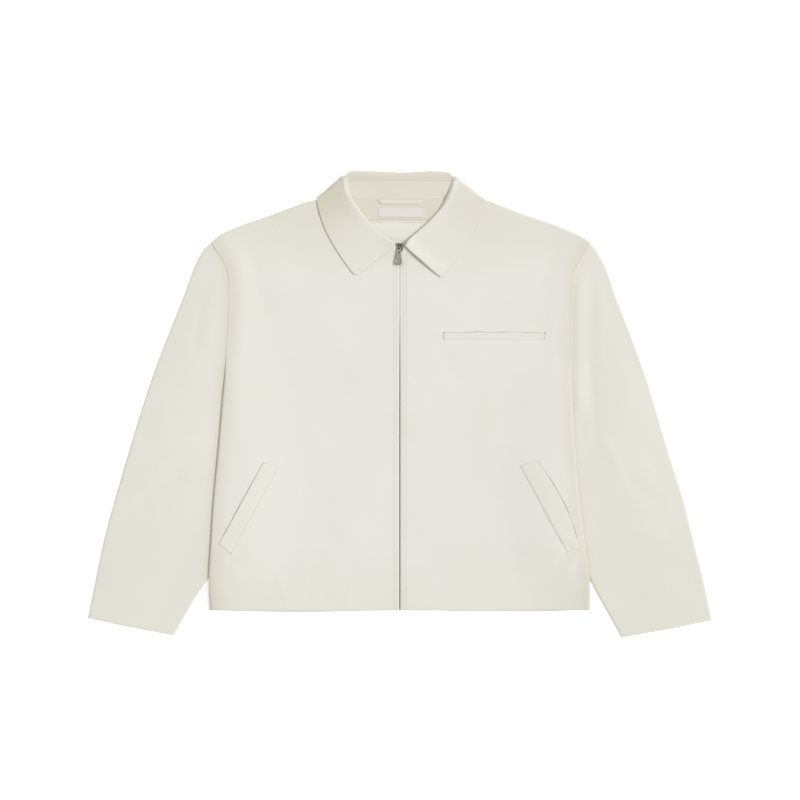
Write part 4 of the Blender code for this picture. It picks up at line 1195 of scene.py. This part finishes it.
def neck_pieces():
    plan = patch(76.0, 72.0, BACK_NECK["y"][-1] + 1.4, FACING_EDGE_Y + NECK_SEAM, 14, 60)
    x, y = plan[..., 0], plan[..., 1]
    facing = with_height(plan, facing_top(x, y))
    # The facing carries painted shade all over, on top of the darker inner twill
    facing = add_cloth("neck_facing_cloth", facing, FACING_T, SHADED_INNER_TWILL, grain=90.0, shade=0.45)
    plan = patch(72.0, 20.0, FACING_EDGE_Y, LINING_END_Y, 24, 40)
    x, y = plan[..., 0], plan[..., 1]
    soft = 0.2 * np.sin(x / 9.0 + y / 31.0)
    sinks = np.clip((258.0 - y) / 8.0, 0, 1)
    height = facing_top(x, y) + soft - (0.8 + soft) * sinks
    lining = add_cloth("lining_cloth", with_height(plan, height), LINING_T, SATEEN)
    share = np.linspace(-1, 1, 49)
    x = np.linspace(LOOP["x0"], LOOP["x1"], 49)
    hang = ease((1 - abs(share)) * 0.5 * (LOOP["x1"] - LOOP["x0"]) / 8.0)
    low = LOOP["y"] + 0.8 - (LOOP["width"] + 1.6) * hang
    high = LOOP["y"] + 1.2 - 0.6 * hang
    round_it = np.linspace(-1, 1, 9)[:, None]
    plan = np.dstack([x[None] + 0 * round_it, (low + high)[None] / 2 + (high - low)[None] / 2 * round_it])
    height = facing_top(plan[..., 0], plan[..., 1]) + 0.15 + LOOP["thickness"]
    height = height - 0.4 * round_it ** 4 - 0.5 * (1 - hang[None])
    loop = with_height(plan, height)
    loop = add_cloth("hanger_loop_cloth", loop, 0.7 * LOOP["thickness"], SHADED_INNER_TWILL, grain=90.0)
    x, y = np.meshgrid(np.linspace(LABEL["x0"], LABEL["x1"], 37), np.linspace(LABEL["y0"], LABEL["y1"], 13))
    free = np.clip((x - LABEL["x0"]) / 6, 0, 1) * np.clip((LABEL["x1"] - x) / 6, 0, 1)
    curl = 0.7 * free * np.clip((LABEL["y0"] + 5 - y) / 5, 0, 1) ** 2
    height = facing_top(x, y) + 0.05 + LABEL_T + curl
    label = add_cloth("blank_label", np.dstack([x, y, height]), LABEL_T, RIBBON)
    return facing, lining, loop, label


WELT_CLOTH = {"right": 0.45, "left": 0.45, "chest": 0.25}  # how far a welt stands proud of its front
MOUTH_T = 0.2
# The mouth strips are painted shade: dark strips where the mouth is only in shade
MOUTH_WIDTH = {"right": 0.9, "left": 1.3, "chest": 0.8}  # how much of the pocket bag shows
# Rows of a mouth strip: share of the shown width, and distance in under the welt
MOUTH_ROWS = ((0.0, 3.0), (0.0, 1.6), (0.0, 0.4), (0.5, 0.1), (1.0, 0.0))


def welt_piece(name, plan, lift):
    """A strip of cloth sewn down on a front; lift opens its first row, the pocket's mouth."""
    x, y = plan[..., 0], plan[..., 1]
    share = np.linspace(0, 1, plan.shape[0])[:, None]
    along = np.linspace(0, 1, plan.shape[1])[None, :]
    open_edge = lift * (1 - share) ** 2 * np.clip(np.sin(math.pi * along), 0, 1) ** 0.5
    full = 0.2 * np.sin(math.pi * share)
    height = panel_top(x, y) + 0.08 + WELT_CLOTH[name] + full + open_edge
    return with_height(plan, height)


def mouth_piece(name, edge, side, width):
    """Painted shade of the pocket's mouth, in the pocket bag's cloth: a narrow dark strip along a welt's open
    edge, with uneven width.
    """
    along = np.linspace(0, 1, len(edge))
    uneven = 0.72 + 0.28 * np.sin(along * 23.0 + width)
    shown = width * np.clip(np.sin(math.pi * along), 0, 1) ** 0.4 * uneven
    plan = np.array([inset(edge, side * (shown * share - under)[:, None]) for share, under in MOUTH_ROWS])
    grid = with_height(plan, panel_top(plan[..., 0], plan[..., 1]) + MOUTH_T + 0.05)
    return add_cloth(name, grid if side < 0 else grid[:, ::-1], MOUTH_T, SHADED_CALICO)


def welt_edges(side, cells):
    """Plan of a side welt's opening edge and of its inner edge."""
    return [divide(smooth_curve(side_points(rows, side)), cells) for rows in (WELT_OPENING, WELT_INNER)]


def side_welt(side):
    opening, inner = welt_edges(side, 60)
    plan = np.array([opening + (inner - opening) * share for share in np.linspace(0, 1, 13)])
    grid = welt_piece(side, plan, 0.9)
    grid = grid if side == "right" else grid[:, ::-1]
    # A faint painted shade over the welt
    welt = add_cloth("pocket_welt_" + side + "_cloth", grid, WELT_CLOTH[side], TWILL, grain=30.0, shade=0.06)
    return welt, mouth_piece("pocket_mouth_shade_" + side, opening, SIDES[side], MOUTH_WIDTH[side])


def chest_welt():
    x = np.linspace(CHEST_WELT["x0"], CHEST_WELT["x1"], 81)
    y = np.linspace(CHEST_WELT["y1"], CHEST_WELT["y0"], 9)
    plan = np.dstack(np.meshgrid(x, y))
    wave = 0.35 * np.sin(x / 8.5) + 0.3 * np.sin(x / 21.0 + 1.0)
    plan[..., 1] += wave[None] * np.linspace(1, 0.1, 9)[:, None]
    grid = welt_piece("chest", plan, 0.5)
    # A faint painted shade over the welt
    welt = add_cloth("chest_welt_cloth", grid[:, ::-1], WELT_CLOTH["chest"], TWILL, grain=30.0, shade=0.06)
    return welt, mouth_piece("chest_pocket_mouth_shade", plan[0], 1.0, MOUTH_WIDTH["chest"])


# ---------------------------------------------------------------- sewing

def joined_copies(name, template, places, look):
    """One mesh of many copies of a small form; each place is its point and its three axes."""
    verts = np.array([v.co for v in template.verts])
    faces = [[v.index for v in face.verts] for face in template.faces]
    template.free()
    all_verts, all_faces = [], []
    for count, (point, axes) in enumerate(places):
        all_verts.append(verts @ np.array(axes) + point)
        all_faces += [[i + count * len(verts) for i in face] for face in faces]
    mesh = bpy.data.meshes.new(name)
    mesh.from_pydata((np.vstack(all_verts) + CENTRE) * MM, [], all_faces)
    uv = mesh.uv_layers.new(name="Grain")
    for loop in mesh.loops:
        x, y, _ = mesh.vertices[loop.vertex_index].co
        uv.data[loop.index].uv = (x, y)
    mesh.shade_smooth()
    mesh.materials.append(look)
    return in_scene(name, mesh)


STITCH = {"length": 2.3, "pitch": 3.0, "width": 0.62, "depth": 0.42}


def stitches_along(line, height, lift=0.08):
    """Places of the stitches along a line in plan, lying on a height function."""
    line = np.asarray(line, float)
    total = run_length(line)[-1]
    count = max(int(total / STITCH["pitch"]), 1)
    at = (np.arange(count) + 0.5) * total / count
    ends = [at_distances(line, at + shift) for shift in (-STITCH["length"] / 2, STITCH["length"] / 2)]
    ends = [np.column_stack([end, height(*end.T) + lift]) for end in ends]
    places = []
    for first, last in zip(*ends):
        along = (last - first) / np.linalg.norm(last - first)
        side = unit(np.cross((0, 0, 1.0), along))
        up = np.cross(along, side)
        axes = (along * STITCH["length"], side * STITCH["width"], up * STITCH["depth"])
        places.append(((first + last) / 2, axes))
    return places


def thread_form():
    bm = bmesh.new()
    bmesh.ops.create_uvsphere(bm, u_segments=6, v_segments=4, radius=0.5)
    bmesh.ops.rotate(bm, verts=bm.verts, matrix=Matrix.Rotation(math.pi / 2, 3, "Y"))
    bm.verts.index_update()
    return bm


def welt_outline(opening, inner, margin):
    """A closed line inside a strip, a margin from its edges."""
    ring = np.vstack([opening, inner[::-1], opening[:1]])
    middle = (opening + inner) / 2
    near = np.vstack([middle, middle[::-1], middle[:1]])
    away = near - ring
    width = np.linalg.norm(away, axis=1, keepdims=True)
    shift = unit(middle[-1] - middle[0]) * margin
    moved = ring + away / width * margin
    count = len(opening)
    for corner, sign in ((0, 1), (count - 1, -1), (count, -1), (2 * count - 1, 1), (-1, 1)):
        moved[corner] += sign * shift
    return moved


def welt_top(x, y):
    return panel_top(x, y) + 0.1 + WELT_CLOTH["left"]


ZIP_ROWS = {"right": (-10.2, -6.2), "left": (4.6, 9.0)}  # topstitching beside the zip


def sew():
    """Rows of stitches, one mesh for each group."""
    groups = {}
    rows = []
    for lines in ZIP_ROWS.values():
        for x in lines:
            top = 236.0 if abs(x) > 8 else 226.0
            rows += stitches_along([(x, -318.5), (x, top)], panel_top)
    groups["zip_topstitching"] = rows
    rows = []
    for side in SIDES:
        opening, inner = welt_edges(side, 24)
        rows += stitches_along(welt_outline(opening, inner, 1.6), welt_top)
    for end, inward in ((CHEST_WELT["x0"], 1.0), (CHEST_WELT["x1"], -1.0)):
        for away in (0.7, 1.9):
            x = end + inward * away
            rows += stitches_along([(x, CHEST_WELT["y0"] + 0.4), (x, CHEST_WELT["y1"] - 0.2)], welt_top)
    groups["welt_stitching"] = rows
    rows = []
    for y in (FACING_EDGE_Y + 2.2, FACING_EDGE_Y - 2.0):
        rows += stitches_along([(-60, y), (60, y)], facing_top)
    for end in (LABEL["x0"] + 1.2, LABEL["x1"] - 1.2):
        rows += stitches_along([(end, LABEL["y0"] + 1), (end, LABEL["y1"] - 1)], label_top)
    groups["neck_stitching"] = rows
    return [joined_copies(name, thread_form(), places, THREAD) for name, places in groups.items()]


# ---------------------------------------------------------------- zip

def tape(side):
    sign = SIDES[side]
    y = np.linspace(HEM["y"][3] + 0.5, TAPE["top"], 97)
    inner = np.maximum(TAPE["inner"], np.interp(y, ZIP_EDGE["y"], ZIP_EDGE["x"]))
    outer = TAPE["outer"] + 0 * y
    shares = np.linspace(0, 1, 7) if side == "left" else np.linspace(1, 0, 7)
    x = np.stack([sign * (inner + (outer - inner) * share) for share in shares], axis=1)
    height = np.full(x.shape, TAPE["z"] + TAPE_T)
    grid = np.dstack([x, y[:, None] + 0 * x, height])
    return add_cloth("zip_tape_" + side + "_cloth", grid, TAPE_T, TAPE_LOOK)


TOOTH = {"pitch": 2.5, "width": 1.5, "reach": 2.3, "height": 1.1}


def teeth():
    """Two rows of metal teeth that mesh along the middle."""
    bm = bmesh.new()
    bmesh.ops.create_cube(bm, size=1.0)
    bmesh.ops.bevel(bm, geom=bm.edges[:], offset=0.16, segments=1, affect="EDGES", profile=0.5, material=-1)
    bm.verts.index_update()
    places = []
    middle = (CHAIN["z0"] + CHAIN["z1"]) / 2
    for row, sign in enumerate((-1.0, 1.0)):
        for y in np.arange(HEM["y"][3] + 2.0 + row * TOOTH["pitch"] / 2, CHAIN["top"] - 1.0, TOOTH["pitch"]):
            point = (sign * (TOOTH["reach"] / 2 - 0.25), y, middle)
            places.append((point, ((TOOTH["reach"], 0, 0), (0, TOOTH["width"], 0), (0, 0, TOOTH["height"]))))
    return joined_copies("zip_teeth", bm, places, DARK_ZINC)


SLIDER_SHIFT = -1.9  # the slider sits a little to the right of the middle
SLIDER_WIDEN = 1.22
BRIDGE_SUNK = 0.8  # how far the bridge's feet go into the slider


def slider_piece():
    """The slider's top plate with its two side walls, and the bridge that holds the tab."""
    bm = bmesh.new()
    middle = (SLIDER["top"] + SLIDER["bottom"]) / 2
    size = (2 * SLIDER["half_top"], SLIDER["top"] - SLIDER["bottom"], SLIDER["z1"] - SLIDER["z0"])
    bmesh.ops.create_cube(bm, size=1.0, matrix=Matrix.Diagonal((*size, 1)))
    bmesh.ops.translate(bm, verts=bm.verts, vec=(0, middle, (SLIDER["z0"] + SLIDER["z1"]) / 2))
    for vert in bm.verts:
        if vert.co.y < middle:
            vert.co.x *= SLIDER["half_bottom"] / SLIDER["half_top"]
    bmesh.ops.bevel(bm, geom=bm.edges[:], offset=0.9, segments=4, affect="EDGES", profile=0.5, material=-1)
    bm.faces.ensure_lookup_table()
    top = max(bm.faces, key=lambda face: (round(face.calc_center_median().z, 2), face.calc_area()))
    bmesh.ops.inset_region(bm, faces=[top], thickness=0.7, depth=0.0)
    bmesh.ops.translate(bm, verts=top.verts, vec=(0, 0, -0.45))
    arch = bmesh.new()
    foot = SLIDER["z1"] - BRIDGE_SUNK
    start = (0, BRIDGE["y"] + BRIDGE["half_length"] - BRIDGE["bar"] / 2, foot)
    bmesh.ops.create_circle(arch, cap_ends=True, segments=12, radius=0.5)
    bmesh.ops.scale(arch, verts=arch.verts, vec=(2 * BRIDGE["half_width"], BRIDGE["bar"], 1))
    bmesh.ops.translate(arch, verts=arch.verts, vec=start)
    geom = arch.verts[:] + arch.edges[:] + arch.faces[:]
    bmesh.ops.spin(
        arch, geom=geom, cent=(0, BRIDGE["y"], foot), axis=(1, 0, 0), angle=math.pi, steps=20, use_merge=False,
    )
    lift = (BRIDGE["height"] + BRIDGE_SUNK) / BRIDGE["half_length"]
    for vert in arch.verts:
        vert.co.z = foot + (vert.co.z - foot) * lift
    bmesh.ops.recalc_face_normals(arch, faces=arch.faces)
    mesh = bpy.data.meshes.new("bridge")
    arch.to_mesh(mesh)
    arch.free()
    bm.from_mesh(mesh)
    bpy.data.meshes.remove(mesh)
    bmesh.ops.scale(bm, verts=bm.verts, vec=(SLIDER_WIDEN, 1, 1))
    bmesh.ops.translate(bm, verts=bm.verts, vec=(SLIDER_SHIFT, 0, 0))
    made = add_object("slider_body", bm, DARK_ZINC)
    made.data.set_sharp_from_angle(angle=math.radians(50))
    return made


# Half width and thickness of the tab along its length, from the eye to the end
TAB_SHAPE = table(
    ("away", "half", "thick"),
    (1.6, 2.3, 0.9), (1, 3.1, 1.1), (-2.6, 3.6, 1.2), (-5.4, 3.7, 1.2), (-8.6, 3.8, 1.3), (-11, 3.9, 1.2),
    (-15, 4.3, 1.1), (-19, 4.8, 1.1), (-23, 5.3, 1.5), (-25.2, 5.3, 1.4), (-26, 4.8, 0.9),
)
TAB_HOLES = ((1.3, -2.6, 0.4), (2.0, -8.8, -6.2))  # half width, lower and upper end
TAB_RISE = 6.5  # degrees by which the tab points up from the cloth
TAB_SWING = -0.4  # degrees by which it points to the right
TAB_ROWS = 74
TAB_COLUMNS = 24


def tab_piece():
    """The tab: an eye round the bridge, an open ring, and a waisted grip with a hollow near its end."""
    away = np.linspace(TAB_SHAPE["away"][0], TAB_SHAPE["away"][-1], TAB_ROWS + 1)
    half = np.interp(-away, -TAB_SHAPE["away"], TAB_SHAPE["half"])
    bm = bmesh.new()
    bmesh.ops.create_grid(bm, x_segments=TAB_COLUMNS, y_segments=TAB_ROWS, size=0.5)
    for vert in bm.verts:
        row = TAB_ROWS - round((vert.co.y + 0.5) * TAB_ROWS)
        vert.co = (2 * vert.co.x * half[row], away[row], 0)
    holes = [
        face for face in bm.faces
        for width, low, high in TAB_HOLES
        if abs(face.calc_center_median().x) < width and low < face.calc_center_median().y < high
    ]
    bmesh.ops.delete(bm, geom=holes, context="FACES")
    shell = bmesh.ops.extrude_face_region(bm, geom=bm.faces[:])
    upper = {v for v in shell["geom"] if isinstance(v, bmesh.types.BMVert)}
    for vert in bm.verts:
        along = -vert.co.y
        thick = np.interp(along, -TAB_SHAPE["away"], TAB_SHAPE["thick"])
        width = np.interp(along, -TAB_SHAPE["away"], TAB_SHAPE["half"])
        crown = 1 - 0.12 * abs(vert.co.x / width) ** 8
        in_grip = np.clip((width - 0.5 - abs(vert.co.x)) / 1.8, 0, 1)
        dish = 0.3 * np.interp(along, [10.0, 12.0, 19.0, 20.4, 22.6], [0.0, 0.25, 0.4, 2.2, 0.0])
        sign = 1.0 if vert in upper else -1.0
        vert.co.z = sign * max(thick * 0.5 * crown - dish * in_grip, 0.1)
    bmesh.ops.recalc_face_normals(bm, faces=bm.faces)
    swing = Matrix.Rotation(math.radians(-TAB_SWING), 3, "Z")
    bmesh.ops.rotate(bm, verts=bm.verts, matrix=swing @ Matrix.Rotation(math.radians(-TAB_RISE), 3, "X"))
    bmesh.ops.translate(bm, verts=bm.verts, vec=(SLIDER_SHIFT - 1.1, PULL["axis_y"], PULL["axis_z"]))
    made = add_object("pull_grip", bm, NICKEL)
    made.data.set_sharp_from_angle(angle=math.radians(45))
    return made


# ---------------------------------------------------------------- setting

def aim(thing, direction):
    thing.rotation_euler = Vector(direction).to_track_quat("-Z", "Y").to_euler()


def setting():
    camera = in_scene("Camera", bpy.data.cameras.new("Camera"))
    camera.location = (-0.0003, 0.0075, 3.1)
    camera.data.lens = 90.0
    camera.data.sensor_width = 36.0
    bpy.context.scene.camera = camera
    sun = in_scene("Key", bpy.data.lights.new("Key", "SUN"))
    sun.data.energy = 1.8
    sun.data.angle = math.radians(20)
    aim(sun, (-0.64, -0.12, -0.76))
    panel = in_scene("Overhead softbox", bpy.data.lights.new("Overhead softbox", "AREA"))
    panel.data.energy = 8.4
    panel.data.size = 0.9
    panel.location = (0.0, 2.3, 3.3)
    aim(panel, (0.0, -0.7, -1.0))
    world = bpy.data.worlds.new("Studio")
    world.use_nodes = True
    sky = world.node_tree.nodes["Background"]
    sky.inputs["Color"].default_value = (1.0, 0.99, 0.97, 1.0)
    sky.inputs["Strength"].default_value = 0.562
    bpy.context.scene.world = world
    bm = bmesh.new()
    bmesh.ops.create_grid(bm, x_segments=1, y_segments=1, size=4.0)
    bmesh.ops.translate(bm, verts=bm.verts, vec=(0, 0, -0.0002))
    mesh = bpy.data.meshes.new("floor")
    bm.to_mesh(mesh)
    bm.free()
    made, tree, shader = new_material("Pale studio paper", 0.9)
    place = add_node(tree, "ShaderNodeTexCoord", {}).outputs["Object"]
    fibres = add_node(tree, "ShaderNodeTexNoise", {"Vector": place, "Scale": 30.0})
    tint = add_node(
        tree, "ShaderNodeMix", {0: fibres.outputs["Fac"], 6: (0.95, 0.95, 0.95, 1), 7: (0.93, 0.93, 0.93, 1)},
        data_type="RGBA",
    )
    tree.links.new(tint.outputs[2], shader.inputs["Base Color"])
    shader.inputs["Emission Color"].default_value = (1.0, 1.0, 1.0, 1.0)
    shader.inputs["Emission Strength"].default_value = 0.35
    mesh.materials.append(made)
    floor = in_scene("floor", mesh)
    bpy.context.scene.view_settings.view_transform = "Standard"
    bpy.context.scene.view_settings.look = "None"


def place_piece(piece, body, slot, *nodes):
    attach(piece, body)
    if nodes:
        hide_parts(*nodes)


def main():
    setting()
    back = back_panel()
    fronts = {side: front_panel(side) for side in SIDES}
    sleeves = {side: sleeve_panel(side) for side in SIDES}
    leaf, stand = collar()
    facing, lining, loop, label = neck_pieces()
    welts, mouths = {}, {}
    for side in SIDES:
        welts[side], mouths[side] = side_welt(side)
    chest, chest_mouth = chest_welt()
    tapes = {side: tape(side) for side in SIDES}
    place_piece(back, "jacket", "shell", "back")
    for side in SIDES:
        place_piece(fronts[side], "jacket", "shell", "front_" + side)
        place_piece(sleeves[side], "jacket", "shell", "sleeve_" + side)
        place_piece(welts[side], "jacket", "shell", "pocket_welt_" + side)
        place_piece(mouths[side], "jacket", "lining")
        place_piece(tapes[side], "jacket", "trim", "zip_tape_" + side)
    place_piece(leaf, "jacket", "shell", "collar_leaf")
    place_piece(stand, "jacket", "shell", "collar_stand")
    place_piece(facing, "jacket", "shell", "back_neck_facing")
    place_piece(lining, "jacket", "lining", "back_lining")
    place_piece(loop, "jacket", "shell", "hanger_loop")
    place_piece(label, "jacket", "trim", "neck_label")
    place_piece(chest_mouth, "jacket", "lining")
    place_piece(chest, "jacket", "shell", "chest_welt")
    for row in sew():
        place_piece(row, "jacket", "shell")
    place_piece(teeth(), "jacket", "zip_metal", "zip_chain")
    place_piece(slider_piece(), "jacket", "zip_metal", "zip_slider")
    place_piece(tab_piece(), "pull", "pull_metal", "pull_tab")


main()
